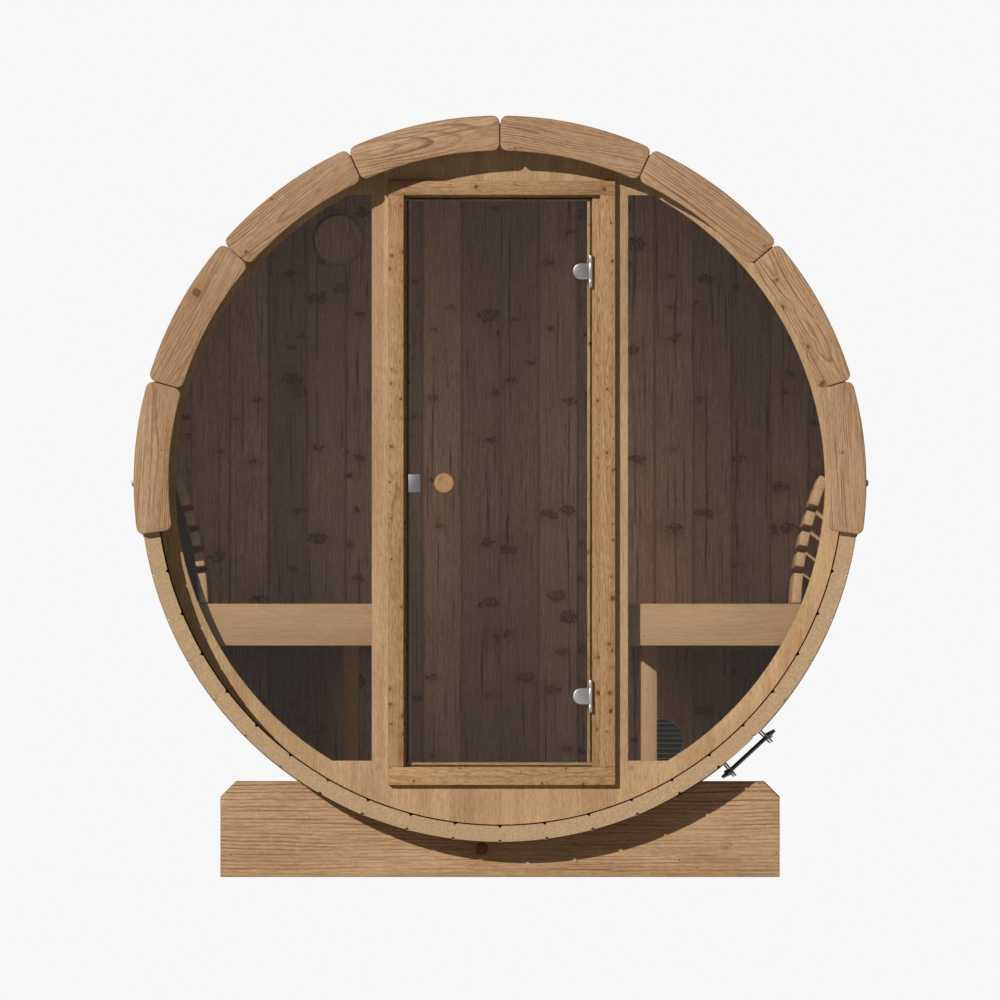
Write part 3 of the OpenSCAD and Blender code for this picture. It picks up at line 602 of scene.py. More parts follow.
class Timber(Finish):
    """Sawn softwood: growth rings round each board's own pith, knots that push them aside, and fibre."""

    def __init__(self, name, colour, recipe):
        super().__init__(name)
        self.pale = self.shown = tuple(colour)
        self.recipe = SimpleNamespace(**{**PLAIN_TIMBER, **recipe})
        self.tone, self.arris, self.sawn = self.mark("tone"), self.mark("arris"), self.mark("sawn_end")
        self.find_place()
        self.grow_knots()
        self.grow_rings()
        self.lay_fibre()
        if self.recipe.streaks:
            self.split_open()
        self.set_knots()
        self.finish_ends()
        self.plane()

    def pattern(self, name, output="Fac"):
        """Noise of one of the patterns, stretched along the grain."""
        often, detail, rough = PATTERNS[name]
        return self.noise(self.scaled(self.place, *often), detail=detail, rough=rough).outputs[output]

    def coat(self, share, tint):
        """Lays another shade of the wood over what shows."""
        self.shown = self.mix(share, self.shown, shade(self.pale, tint))

    def find_place(self):
        """Finds the place in the log, in each glued strip another one."""
        r = self.recipe
        farther, aside, deeper = 9.7, 0.14, 0.09
        grain = self.add("Attribute", attribute_name="grain").outputs["Vector"]
        along, across, through = self.add("SeparateXYZ", {0: grain}).outputs[:3]
        if r.lamella:
            strip = self.calc("FLOOR", self.calc("DIVIDE", across, r.lamella))
            luck = self.add("TexWhiteNoise", {"W": strip}, noise_dimensions="1D").outputs["Color"]
            red, green, blue = self.parts(luck)
            along = self.calc("MULTIPLY_ADD", red, farther, along)
            across = self.calc("SUBTRACT", across, self.times(self.calc("ADD", strip, 0.5), r.lamella))
            across = self.wander(across, green, aside)
            through = self.calc("MULTIPLY_ADD", blue, deeper, through)
            self.tone = red
        self.along, self.across, self.through = along, across, through
        self.place = self.vector(along, across, through)

    def grow_knots(self):
        """Sets how near the next knot is. Some cells of the pattern hold one, each with its own size."""
        r = self.recipe
        spread = self.vector(self.along, self.calc("DIVIDE", self.across, r.wide))
        spot = self.add("TexVoronoi", {"Vector": spread, "Scale": r.knot_share}, voronoi_dimensions="2D")
        luck_size, luck_here, luck_dark = self.parts(spot.outputs["Color"])
        far = self.times(spot.outputs["Distance"], 1 / r.knot_share)
        here = self.calc("LESS_THAN", luck_here, r.knots)
        if r.streaks:
            on_row, luck_row = self.row_of_knots()
            nearer = self.calc("LESS_THAN", on_row, far)
            far = self.calc("MINIMUM", on_row, far)
            here = self.calc("MAXIMUM", here, nearer)
            luck_size = self.calc("MAXIMUM", luck_size, self.times(nearer, luck_row))
            luck_dark = self.calc("MAXIMUM", luck_dark, nearer)
        far = self.wander(far, self.pattern("ripple"), 0.006 + 0.024 * r.torn)
        here = self.times(here, self.calc("SUBTRACT", 1.0, self.sawn))
        small, big = r.knot_size
        rim = 0.0016
        radius = self.calc("MULTIPLY_ADD", self.calc("POWER", luck_size, 3.0), big - small, small)
        knot = self.calc("DIVIDE", self.calc("SUBTRACT", radius, far), rim)
        knot = self.times(self.calc("ADD", knot, 0.5, clamp=True), here)
        knot = self.times(knot, self.between(self.pattern("tear"), 0.42, 0.56, 1.0 - r.torn, 1.0))
        near = self.calc("DIVIDE", far, self.calc("MULTIPLY_ADD", radius, 2.6, 0.001))
        near = self.calc("EXPONENT", self.times(self.times(near, near), -1.0))
        self.knot, self.near = knot, self.times(near, here)
        self.knot_radius, self.luck_dark = radius, luck_dark

    def row_of_knots(self):
        """Distance to the next of a row of knots along a bent line, and that knot's own chance."""
        in_metre = 2.5
        bend = self.noise(self.vector(self.times(self.along, 3.5), self.tone), detail=2.0).outputs["Fac"]
        self.off_row = self.wander(self.across, bend, 0.03)
        row = self.add("TexVoronoi", {"W": self.along, "Scale": in_metre}, voronoi_dimensions="1D")
        step = self.vector(self.times(row.outputs["Distance"], 1 / in_metre),
                           self.calc("DIVIDE", self.off_row, self.recipe.wide))
        on_row = self.add("VectorMath", {0: step}, operation="LENGTH").outputs["Value"]
        return on_row, self.parts(row.outputs["Color"])[0]

    def grow_rings(self):
        """Darkens the late wood of the rings, which sway slowly and run round the knots."""
        r = self.recipe
        lean, bow, _ = self.parts(self.pattern("flow", "Color"))
        across = self.wander(self.across, lean, r.sway * 2)
        through = self.wander(self.through, bow, r.sway * 2.5)
        ring = self.calc("SQRT", self.calc("ADD", self.times(across, across), self.times(through, through)))
        ring = self.calc("ADD", ring, self.times(self.times(self.near, self.knot_radius), 2.2))
        ring = self.calc("DIVIDE", ring, r.pitch)
        number = self.calc("FLOOR", ring)
        luck = self.add("TexWhiteNoise", {"W": number}, noise_dimensions="1D").outputs["Value"]
        phase = self.calc("FRACT", ring)
        dark = self.times(self.between(phase, 0.5, 0.86), self.between(phase, 0.9, 1.0, 1.0, 0.0))
        dark = self.times(dark, self.calc("MULTIPLY_ADD", luck, 0.9, 0.25))
        self.late = self.times(dark, self.between(self.pattern("fade"), 0.36, 0.58, 0.2, 1.15))
        self.coat(self.times(self.late, r.contrast), r.late)

    def lay_fibre(self):
        """Adds clouds, threads, flecks and hair cracks."""
        r = self.recipe
        cloud, flecks = self.pattern("cloud"), self.pattern("flecks")
        self.threads = self.pattern("threads")
        self.coat(self.between(cloud, 0.45, 0.7, 0.0, r.blotch), CLOUD)
        self.coat(self.between(cloud, 0.5, 0.3, 0.0, r.blotch), SUNNY)
        self.coat(self.between(self.threads, 0.42, 0.68, 0.0, r.fibre * 1.5), THREAD)
        self.coat(self.between(flecks, 0.5, 0.7, 0.0, r.fleck * 1.5), DARK_FLECK)
        self.coat(self.between(flecks, 0.48, 0.3, 0.0, r.fleck * 1.2), PALE_FLECK)
        self.coat(self.between(self.pattern("cracks"), 0.6, 0.67, 0.0, r.crack), CRACK)

    def split_open(self):
        """Draws dark tails, and the open crack along the row of knots."""
        streaks = self.recipe.streaks
        self.coat(self.between(self.pattern("tail"), 0.6, 0.7, 0.0, streaks), TAIL)
        split = self.noise(self.vector(self.times(self.along, 2.4), self.tone), detail=3.0).outputs["Fac"]
        ragged = self.calc("ABSOLUTE", self.wander(self.off_row, self.threads, 0.012))
        split = self.times(self.between(split, 0.5, 0.6), self.between(ragged, 0.001, 0.004, 1.0, 0.0))
        self.coat(self.times(split, streaks), SPLIT)

    def set_knots(self):
        """Colours the knots, the wood round them and the pin knots."""
        self.coat(self.times(self.near, 0.5), HALO)
        heart = self.mix(self.luck_dark, shade(self.pale, RED_KNOT), shade(self.pale, BLACK_KNOT))
        self.shown = self.mix(self.times(self.knot, 0.93), self.shown, heart)
        dots = self.add("TexVoronoi", {"Vector": self.place, "Scale": 62.0})
        dot = self.times(self.between(dots.outputs["Distance"], 0.1, 0.17, 1.0, 0.0),
                         self.calc("LESS_THAN", self.parts(dots.outputs["Color"])[0], self.recipe.specks))
        self.coat(self.times(dot, 0.9), PIN_KNOT)

    def finish_ends(self):
        """Gives each board its tone, the sawn ends their pores, and its eased and marked faces painted shade.
        """
        r = self.recipe
        pores = self.pattern("pores")
        deep, pale = (shade(self.pale, tuple(f * e for e in r.end)) for f in (0.8, 1.2))
        cross = self.mix(self.between(pores, 0.35, 0.65), deep, pale)
        bright = self.calc("MULTIPLY_ADD", self.tone, r.apart, 1.0 - r.apart / 2)
        toned = self.add("CombineColor", {0: bright, 1: bright, 2: bright}).outputs[0]
        self.shown = self.mix(1.0, self.shown, toned, "MULTIPLY")
        self.shown = self.mix(self.times(self.sawn, 0.85), self.shown, cross)
        # Painted shade: eased edges a little darker and greyer, faces marked above 1 near black
        self.coat(self.calc("MULTIPLY", self.arris, 0.35, clamp=True), EDGE_SHADE)
        shaded_share = self.calc("SUBTRACT", self.arris, 1.0, clamp=True)
        self.coat(self.times(shaded_share, self.between(pores, 0.3, 0.5, 0.72, 1.0)), DEEP_SHADE)

    def plane(self):
        """Leaves the threads and the late wood a little proud and the knots smooth."""
        height = self.calc("ADD", self.times(self.threads, 0.6), self.times(self.late, 0.3))
        height = self.calc("SUBTRACT", height, self.times(self.knot, 0.4))
        smooth = self.calc("MULTIPLY_ADD", self.knot, -0.15, 0.56)
        rough = self.calc("MULTIPLY_ADD", self.threads, 0.16, smooth)
        self.surface(self.shown, rough, height, depth=0.0004, strength=0.45, specular_ior_level=0.18)


def metal(name, colour, roughness=0.32, metallic=1.0, scratch=0.1, wear=0.12, stretch=(1, 1, 1), edge=None):
    """Metal with fine brushing or spangle, patchy sheen and slight dents."""
    made = Finish(name)
    place = made.add("TexCoord").outputs["Object"]
    lines = made.noise(made.scaled(place, *(900 * s for s in stretch)), detail=2.0).outputs["Fac"]
    patch = made.noise(place, 38.0, detail=3.0).outputs["Fac"]
    dull, bright = shade(colour, (0.72, 0.71, 0.7)), shade(colour, (1.15, 1.15, 1.16))
    shown = made.mix(made.between(patch, 0.35, 0.7, 0.0, wear * 3), tuple(colour), dull)
    shown = made.mix(made.between(lines, 0.3, 0.75, 0.0, scratch * 2), shown, bright)
    # Faces marked in the piece take the edge colour, a painted highlight
    if edge:
        shown = made.mix(made.mark("arris"), shown, edge)
    rough = made.calc("MULTIPLY_ADD", patch, 0.2, made.calc("MULTIPLY_ADD", lines, 0.12, roughness - 0.14))
    return made.surface(shown, rough, lines, depth=0.00015, strength=0.25, metallic=metallic)


def glazing(name):
    """Clear safety glass with the faintest uneven wipe marks. Its shadow is clear too."""
    made = Finish(name)
    place = made.add("TexCoord").outputs["Object"]
    wipe = made.noise(made.scaled(place, 3, 3, 9), detail=3.0).outputs["Fac"]
    clean_glass, wiped_glass, square = (0.97, 0.985, 0.975), (0.93, 0.95, 0.94), 0.97
    made.surface(made.mix(wipe, clean_glass, wiped_glass), 0.0, transmission_weight=1.0, ior=1.45)
    # The ground edge is what doesn't face straight forwards or back
    facing = made.add("SeparateXYZ", {0: made.add("TexCoord").outputs["Normal"]}).outputs["Y"]
    ground = made.calc("LESS_THAN", made.calc("ABSOLUTE", facing), square)
    edge = made.add("BsdfDiffuse", {"Color": (0.02, 0.035, 0.03), "Roughness": 0.5})
    pane = made.add("MixShader", {0: ground, 1: made.shader.outputs[0], 2: edge.outputs[0]})
    path = made.add("LightPath")
    clear = made.add("BsdfTransparent", {"Color": (0.9, 0.93, 0.91)})
    passes = made.calc("MAXIMUM", path.outputs["Is Shadow Ray"], path.outputs["Is Diffuse Ray"])
    both = made.add("MixShader", {0: passes, 1: pane.outputs[0], 2: clear.outputs[0]})
    made.tree.links.new(both.outputs[0], made.tree.nodes["Material Output"].inputs["Surface"])
    return made.material


WOODS = {
    "stave_wood": ("stave", dict(
        contrast=0.5, knots=0.3, knot_share=5.0, end=(1.05, 1.11, 1.11))),
    "trim_wood": ("trim", dict(
        pitch=0.0062, contrast=1.0, late=(0.24, 0.15, 0.09), sway=0.045, knots=0.55,
        knot_size=(0.002, 0.013), fibre=0.36, apart=0.1, specks=0.05, crack=0.7)),
    "pale_wood": ("front", dict(
        contrast=0.15, knots=0.2, knot_share=4.0, knot_size=(0.002, 0.006), lamella=0.094, fibre=0.18,
        blotch=0.9)),
    "casing_wood": ("casing", dict(
        contrast=0.8, knot_share=22.0, knot_size=(0.002, 0.0065), blotch=0.7, fleck=0.45,
        specks=0.14)),
    "dark_wood": ("rear", dict(
        pitch=0.006, contrast=0.45, late=(0.4, 0.32, 0.28), knots=0.35,
        knot_size=(0.006, 0.02), wide=1.7, torn=0.8, streaks=0.95, fibre=0.45, fleck=0.4, apart=0.75)),
    "bench_wood": ("bench", dict(
        pitch=0.006, contrast=0.2, knots=0.02, knot_share=3.0, blotch=0.35, fibre=0.15, fleck=0.15,
        crack=0.1)),
    "cradle_wood": ("cradle", dict(
        pitch=0.0105, contrast=1.0, late=(0.24, 0.15, 0.09), sway=0.02, knots=0.6, knot_share=3.6,
        knot_size=(0.003, 0.02), fibre=0.35, specks=0.05, crack=0.7)),
    "knob_wood": ("knob", dict(
        pitch=0.004, contrast=0.45, knots=0.02, knot_share=3.0, crack=0.0)),
}
made_finishes = set()


def paint(name):
    """The finish of that name, made when it is first asked for."""
    if name not in made_finishes:
        if name in bpy.data.materials:
            bpy.data.materials[name].name = name + "_packed"
        mixed(name, settings().colours)
        made_finishes.add(name)
    return bpy.data.materials[name]


def mixed(name, hue):
    """Makes the material of that name in the colours of the settings."""
    if name in WOODS:
        which, recipe = WOODS[name]
        return Timber(name, getattr(hue, which), recipe).material
    if name == "clear_glass":
        return glazing(name)
    if name == "hinge_steel":
        return metal(name, hue.steel, 0.34, stretch=(0.05, 1, 1))
    if name == "band_steel":
        return metal(name, hue.strap, 0.45, wear=0.2, stretch=(0.3, 0.3, 0.3))
    if name == "rod_steel":
        return metal(name, hue.rod, 0.42, wear=0.2)
    if name == "catch_steel":
        return metal(name, hue.catch, 0.45, stretch=(1, 1, 0.05))
    # The grilles' ring and beads are painted far lighter, a painted highlight
    return metal(name, hue.vent, 0.5, metallic=0.0, edge=shade(hue.vent, (17.0, 17.0, 16.0)))


# ---- Operators, one for each piece or group of like pieces ----

def from_top(piece, angle, middle):
    """Copy of a piece made at the top of the barrel, turned to its own angle."""
    return vary(copied(piece, turned_about((0, middle), angle - QUARTER)))


class SAUNA_OT_staves(bpy.types.Operator):
    """Mill one stave with its bevels and grooves, and ring the barrel with it"""
    bl_idname = "sauna.staves"
    bl_label = "Staves"
    bl_options = {"REGISTER", "UNDO"}

    def execute(self, context):
        s = context.scene.sauna
        b, w = s.barrel, s.wall
        centre, half = (0, b.middle), math.pi / b.staves - b.gap / 2 / b.radius
        stave = curved_board("stave", centre, (b.radius - b.stave, b.radius),
                             (QUARTER - half, QUARTER + half), (-b.length / 2, b.length / 2), steps=5)
        corner = (b.radius - b.stave) * math.sin(half) - LEEWAY
        for side, width in ((1, b.bevel), (-1, b.bevel_in)):
            ease(stave, width, 1, where=lambda p, q: abs(p.y - q.y) > 1 and abs(p.x) > corner
                 and side * (math.hypot(p.x, p.z - b.middle) - b.radius + b.stave / 2) > b.stave / 2 - LEEWAY)
        play, end_arris = 0.0006, 0.001
        for y in (-w.face + w.wall / 2, w.face - w.wall / 2):
            cut(stave, round_bar("groove", (0, y, b.middle), b.groove, w.wall + play, sides=FINE_ROUND))

        def at_joint(v):
            return abs(abs(v.x) / (v.z - b.middle) - math.tan(half)) < LEEWAY / 2

        ease(stave, end_arris, 1, where=lambda p, q: abs(abs(p.y) - b.length / 2) < FINE
             and abs(p.y - q.y) < FINE and not (at_joint(p) and at_joint(q)))
        lay_grain(stave, ALONG_Y, ALONG_X)

        # Behind the wall, a filler painted in deep shade stops the light in the outer notch between two
        # staves
        filler_at, filler_thick, sunk = -w.face + 0.02, 0.006, 0.0003
        top = b.middle + b.radius
        filler = block("joint_filler", (-b.bevel, filler_at, top - b.bevel),
                       (b.bevel, filler_at + filler_thick, top - sunk))
        filler.data.transform(turned_about(centre, half))
        mark_faces(filler, lambda p, n: SHADE_MARK)
        filled = lay_grain(joined("filled_stave", [filler, copied(stave, Matrix())]), ALONG_Y, ALONG_X)
        sets, low_side = 8, -0.78
        each, step = b.staves // sets, math.tau / b.staves
        for n in range(sets):
            turns = [(n * each + i + 0.5) * step for i in range(each)]
            ring = [from_top(filled if math.sin(a) < low_side else stave, a, b.middle) for a in turns]
            finish(joined(f"stave_set_{n + 1}", ring), paint("stave_wood"), "stave_wood", f"staves_{n + 1}")
        drop(stave)
        drop(filled)
        return {"FINISHED"}


class SAUNA_OT_trim(bpy.types.Operator):
    """Saw one curved end board with rounded corners, and lay both arches with it"""
    bl_idname = "sauna.trim"
    bl_label = "End Trim"
    bl_options = {"REGISTER", "UNDO"}

    def execute(self, context):
        s = context.scene.sauna
        b = s.barrel
        span = (math.pi + 2 * b.drop) / b.trims
        half = span / 2 - b.trim_gap / (b.trim_inner + b.trim_outer)
        front = -b.length / 2 - b.trim
        blank = curved_board("trim_board", (0, b.middle), (b.trim_inner, b.trim_outer),
                             (QUARTER - half, QUARTER + half), (front, front + b.trim), steps=12)
        strip, arris, outer_shade = 0.004, 0.003, 1.4
        side = b.trim_inner * math.sin(half) - strip
        ease(blank, b.corner, 6, where=lambda p, q: abs(p.y - q.y) > OVER and abs(p.x) > side)
        unmark(blank)
        ease(blank, arris, 3)
        # The outer rounded edge is marked for painted shade, darker than the other eased edges
        mark_faces(blank, lambda p, n: outer_shade * (
            abs(n.y) < 0.95 and math.hypot(p.x, p.z - b.middle) > b.trim_outer - strip))
        lay_grain(blank, ALONG_X, ALONG_Z)
        for name, node, move in (("front_arch", "front_trim", 0),
                                 ("rear_arch", "rear_trim", b.length + b.trim)):
            arch = []
            for i in range(b.trims):
                one = from_top(blank, -b.drop + (i + 0.5) * span, b.middle)
                vary(one, side=(-0.07, 0.07), deep=(0.005, 0.03))
                one.data.transform(shift(y=move))
                arch.append(one)
            finish(joined(name, arch), paint("trim_wood"), "trim_wood", node)
        drop(blank)
        return {"FINISHED"}


def window_tool(s, side, grow, front, back):
    """Cutter with the outline of a window: straight inside, round outside."""
    w, middle = s.wall, s.barrel.middle
    tool = round_bar("window_tool", (0, (front + back) / 2, middle), w.window + grow, back - front,
                     sides=FINE_ROUND)
    beyond = 1.1
    inner, outer = side * (w.window_in - grow), side * beyond
    return cut(tool, block("window_side", (min(inner, outer), front - OVER, w.open_low - grow),
                           (max(inner, outer), back + OVER, w.open_high + grow)), "INTERSECT")


class SAUNA_OT_front_wall(bpy.types.Operator):
    """Cut the front wall from one glued panel, with rebated windows and the doorway"""
    bl_idname = "sauna.front_wall"
    bl_label = "Front Wall"
    bl_options = {"REGISTER", "UNDO"}

    def execute(self, context):
        s = context.scene.sauna
        w, middle = s.wall, s.barrel.middle
        face, back = -w.face, -w.face + w.wall
        wall = round_bar("front_wall", (0, (face + back) / 2, middle), w.radius, w.wall, sides=FINE_ROUND)
        for side in (-1, 1):
            cut(wall, window_tool(s, side, 0, face - OVER, back + OVER))
            cut(wall, window_tool(s, side, w.lap, face + w.lip, back + OVER))
        left, right, low, high = -0.2953, 0.3053, 0.2897, 1.9553
        cut(wall, block("doorway", (left, face - OVER, low), (right, back + OVER, high)))

        # The slot between the wall and the staves, whose floor is painted in deep shade
        edge = s.barrel.radius - s.barrel.stave
        slot_at, slot_long, slot_deep, slot_out, slot_in = face - 0.005, 0.066, 0.028, 0.0085, 0.0036
        slot = round_bar("slot", (0, slot_at, middle), edge + slot_out, slot_long, sides=FINE_ROUND)
        cut(slot, round_bar("slot_core", (0, slot_at, middle), edge - slot_in, slot_long + OVER,
                            sides=FINE_ROUND))
        cut(wall, slot)
        clean(wall)
        edit(wall, "FACE")
        bpy.ops.mesh.select_all(action="SELECT")
        bpy.ops.mesh.dissolve_limited(angle_limit=math.radians(0.2))
        close(wall)

        inside, arris = w.window + 0.03, 0.0015
        sharp = {tuple(sorted(e)) for e in sharp_edges(wall)}
        points = {place_key(v.co): v.index for v in wall.data.vertices}

        def round_window(p, q):
            return (all(abs(v.y - face) < FINE and math.hypot(v.x, v.z - middle) < inside for v in (p, q))
                    and not all(left - LEEWAY < v.x < right + LEEWAY for v in (p, q))
                    and tuple(sorted(points[place_key(v)] for v in (p, q))) in sharp)

        ease(wall, arris, 2, where=round_window)
        # The slot's floor is painted in deep shade
        mark_faces(wall, lambda p, n: SHADE_MARK * (abs(p.y - face - slot_deep) < 10 * FINE))
        lay_grain(wall, ALONG_Z, ALONG_X)
        finish(wall, paint("pale_wood"), "pale_wood", "front_base_panel", "front_head_panel",
               "front_rim_left", "front_rim_right", "front_post_left", "front_post_right", smooth=25)
        return {"FINISHED"}


def place_key(place):
    """Rounded place, by which a point of the wall is found again."""
    return tuple(round(c, 6) for c in place)


def sharp_edges(piece, sharp=40):
    """Vertex pairs of the edges whose two faces meet at more than the sharp angle."""
    faces = {}
    for face in piece.data.polygons:
        for key in face.edge_keys:
            faces.setdefault(key, []).append(face.normal)
    return [key for key, sides in faces.items()
            if len(sides) == 2 and sides[0].angle(sides[1], 0) > math.radians(sharp)]


class SAUNA_OT_door_frame(bpy.types.Operator):
    """Plane the casing, rebate strips and stops of the door frame"""
    bl_idname = "sauna.door_frame"
    bl_label = "Door Frame"
    bl_options = {"REGISTER", "UNDO"}

    def execute(self, context):
        s = context.scene.sauna
        front, face, rebate, back = -0.841, -0.820, -0.807, -0.778
        kerf_deep, strip_arris = 0.016, 0.001
        # Casing, rebate strips and stops: front and back, then across and up, outside and inside
        layers = (
            (front, face, (-0.317, 0.327), (-0.273, 0.283), (0.260, 1.973), (0.312, 1.933)),
            (face, rebate, (-0.295, 0.305), (-0.266, 0.262), (0.290, 1.955), (0.312, 1.928)),
            (rebate, back, (-0.295, 0.305), (-0.251, 0.247), (0.290, 1.955), (0.325, 1.9165)),
        )
        # Each side's node, grain, and the two corners of the kerf for its seal
        sides = {
            "left_jamb": ("door_jamb_left", (ALONG_Z, ALONG_X), (-0.2645, 0.3), (-0.2595, 1.95)),
            "right_jamb": ("door_jamb_right", (ALONG_Z, ALONG_X), (0.2555, 0.3), (0.2605, 1.95)),
            "head": ("door_head", (ALONG_X, ALONG_Z), (-0.2645, 1.9215), (0.2605, 1.9265)),
            "sill": ("door_sill", (ALONG_X, ALONG_Z), (-0.2645, 0.3130), (0.2605, 0.3170)),
        }
        for name, (node, way, kerf_low, kerf_high) in sides.items():
            made = []
            for i, (y0, y1, *outline) in enumerate(layers):
                (left, right), (in_left, in_right), (foot, top), (in_foot, in_top) = outline
                (x0, z0), (x1, z1) = {
                    "left_jamb": ((left, in_foot), (in_left, in_top)),
                    "right_jamb": ((in_right, in_foot), (right, in_top)),
                    "head": ((left, in_top), (right, top)),
                    "sill": ((left, foot), (right, in_foot))}[name]
                made.append(board(f"{name}_{i}", (x0, y0, z0), (x1, y1, z1), *way,
                                  arris=strip_arris if i else s.door.arris))
            stop = made[2]
            cut(stop, block("seal_kerf", (kerf_low[0], rebate - LEEWAY, kerf_low[1]),
                            (kerf_high[0], rebate + kerf_deep, kerf_high[1])))
            lay_grain(stop, *way)
            finish(joined(f"frame_{name}", made), paint("casing_wood"), "casing_wood", node)
        return {"FINISHED"}


class SAUNA_OT_glass(bpy.types.Operator):
    """Glaze the windows and the door"""
    bl_idname = "sauna.glass"
    bl_label = "Glass"
    bl_options = {"REGISTER", "UNDO"}

    def execute(self, context):
        for name in ("window_left", "window_right", "door_glass"):
            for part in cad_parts[name].material_slots:
                part.material = paint("clear_glass")
        return {"FINISHED"}


class SAUNA_OT_hinges(bpy.types.Operator):
    """Mill the hinge clamps on the glass and the hinge plates on the frame"""
    bl_idname = "sauna.hinges"
    bl_label = "Hinges"
    bl_options = {"REGISTER", "UNDO"}

    def execute(self, context):
        s = context.scene.sauna
        d = s.door
        half, pin_y = d.hinge / 2, -d.pin_front
        heights = (d.hinge_low, d.hinge_high)

        # The clamp on the glass: right edge, front, back and rounding of its two plates
        left, soft, shown_screw, bolt = d.pin_x - 0.05, 0.0006, d.pin_x - 0.028, 0.005
        plates = []
        for right, y0, y1, dome in ((0.253, -0.830, GLASS_FRONT, 0.004),
                                    (0.241, GLASS_BACK, -0.8075, 0.0015)):
            plate = block("clamp_plate", (left, y0, -half), (right, y1, half))
            ease(plate, half - 0.0001, 12, where=lambda p, q: abs(p.y - q.y) > LEEWAY and p.x < left + LEEWAY)
            outer = y0 if y0 < GLASS_FRONT else y1
            ease(plate, dome, 5, where=lambda p, q: abs(p.y - outer) < FINE and abs(q.y - outer) < FINE)
            plates.append(plate)
        knuckle = round_bar("clamp_knuckle", (d.pin_x, pin_y, 0), d.knuckle, d.hinge, "Z", 40)
        cut(knuckle, round_bar("bore", (d.pin_x, pin_y, 0), d.pin + 0.0002, d.hinge + OVER, "Z", 40))
        ease(knuckle, soft, 2)
        bolt_bar = round_bar("clamp_bolt", (shown_screw, GLASS_MIDDLE, 0), bolt, 0.010, "Y", 32)
        screw = round_bar("clamp_screw", (shown_screw, -0.8072, 0), bolt, 0.001, "Y", 32)
        work_face(screw, lambda p, n: n.y > 0.9, ("inset", 0.0022), ("move", (0, -0.0006, 0)))
        clamp = joined("clamp", [*plates, knuckle, bolt_bar, ease(screw, 0.0003, 2)])
        pair = [copied(clamp, shift(z=z)) for z in heights]
        finish(joined("hinge_clamps", pair), paint("hinge_steel"), "hinge_steel", "door_hinge_clamps",
               body="door", smooth=40)
        drop(clamp)

        # The leaf on the frame: a plate with three screws, and a tab and a knuckle above and below the clamp
        tall, low, thin, screw_y = d.plate / 2, half + 0.0005, 0.0004, -0.8135
        plate_x, plate_back, screws = 0.2595, 0.262, (-0.032, 0.0, 0.032)
        flat = block("leaf_plate", (plate_x, GLASS_FRONT, -tall), (plate_back, -0.807, tall))
        for z in screws:
            cut(flat, round_bar("countersink", (plate_x, screw_y, z), 0.0032, 0.0016, "X", 24))
        parts = [ease(flat, thin, 1)]
        for z in screws:
            head = round_bar("screw_head", (plate_x + 0.0007, screw_y, z), 0.0030, 0.0010, "X", 24)
            work_face(head, lambda p, n: n.x < -0.9, ("inset", 0.0016), ("move", (0.0005, 0, 0)))
            parts.append(head)
        for side in (-1, 1):
            low_z, high_z = sorted((side * low, side * tall))
            tab = block("leaf_tab", (plate_x, pin_y, low_z), (plate_back, GLASS_FRONT + LEEWAY / 2, high_z))
            bar = round_bar("leaf_knuckle", (d.pin_x, pin_y, side * (low + tall) / 2), d.knuckle,
                            tall - low, "Z", 40)
            parts += [ease(tab, thin, 1), ease(bar, soft, 2)]
        parts.append(ease(round_bar("leaf_pin", (d.pin_x, pin_y, 0), d.pin, d.plate, "Z", 32), 0.0008, 3))
        leaf = joined("leaf", parts)
        pair = [copied(leaf, shift(z=z)) for z in heights]
        finish(joined("hinge_leaves", pair), paint("hinge_steel"), "hinge_steel", "frame_hinge_leaves",
               smooth=40)
        drop(leaf)
        return {"FINISHED"}


class SAUNA_OT_knobs(bpy.types.Operator):
    """Turn the pair of knobs, with a neck at the glass and a shallow dish in front"""
    bl_idname = "sauna.knobs"
    bl_label = "Knobs"
    bl_options = {"REGISTER", "UNDO"}

    def execute(self, context):
        s = context.scene.sauna
        d = s.door
        x, z, face, neck = -0.158, s.barrel.middle - HANDLE_DROP, GLASS_FRONT, 0.008
        end = face - d.knob_long
        knob = round_bar("knob", (x, (end + face - neck) / 2, z), d.knob, d.knob_long - neck, "Y", 64)
        ease(knob, 0.005, 5)
        work_face(knob, lambda p, n: n.y < -0.99 and p.y < end + LEEWAY, ("inset", 0.006),
                  ("move", (0, 0.0012, 0)), ("inset", 0.002), ("move", (0, 0.0008, 0)))
        work_face(knob, lambda p, n: n.y > 0.99 and p.y > face - neck - LEEWAY / 2, ("inset", 0.0065),
                  ("move", (0, 0.003, 0)), ("inset", 0.0008), ("move", (0, 0.005, 0)))
        lay_grain(knob, ALONG_Y, ALONG_X)
        mirror = shift(y=GLASS_MIDDLE) @ Matrix.Scale(-1, 4, ALONG_Y) @ shift(y=-GLASS_MIDDLE)
        inner = vary(copied(knob, mirror))
        bolt = ease(round_bar("knob_bolt", (x, GLASS_MIDDLE, z), 0.0048, 0.012, "Y", 32), 0.0005, 1)
        lay_grain(bolt, ALONG_Y, ALONG_X)
        finish(joined("turned_knobs", [knob, inner, bolt]), paint("knob_wood"), "knob_wood", "door_knobs",
               body="door", smooth=30)
        return {"FINISHED"}


class SAUNA_OT_catch(bpy.types.Operator):
    """Fold the catch plate round the free edge of the glass"""
    bl_idname = "sauna.catch"
    bl_label = "Catch"
    bl_options = {"REGISTER", "UNDO"}

    def execute(self, context):
        s = context.scene.sauna
        z, half, edge = s.barrel.middle - HANDLE_DROP, 0.0255, 0.05
        catch = block("catch_plate", (-0.260, -0.823, z - half), (-0.226, -0.809, z + half))
        cut(catch, block("glass_slot", (-0.258, GLASS_FRONT, z - edge), (-0.2, GLASS_BACK, z + edge)))
        ease(catch, 0.0008, 3)
        finish(catch, paint("catch_steel"), "hinge_steel", "door_catch", body="door")
        return {"FINISHED"}


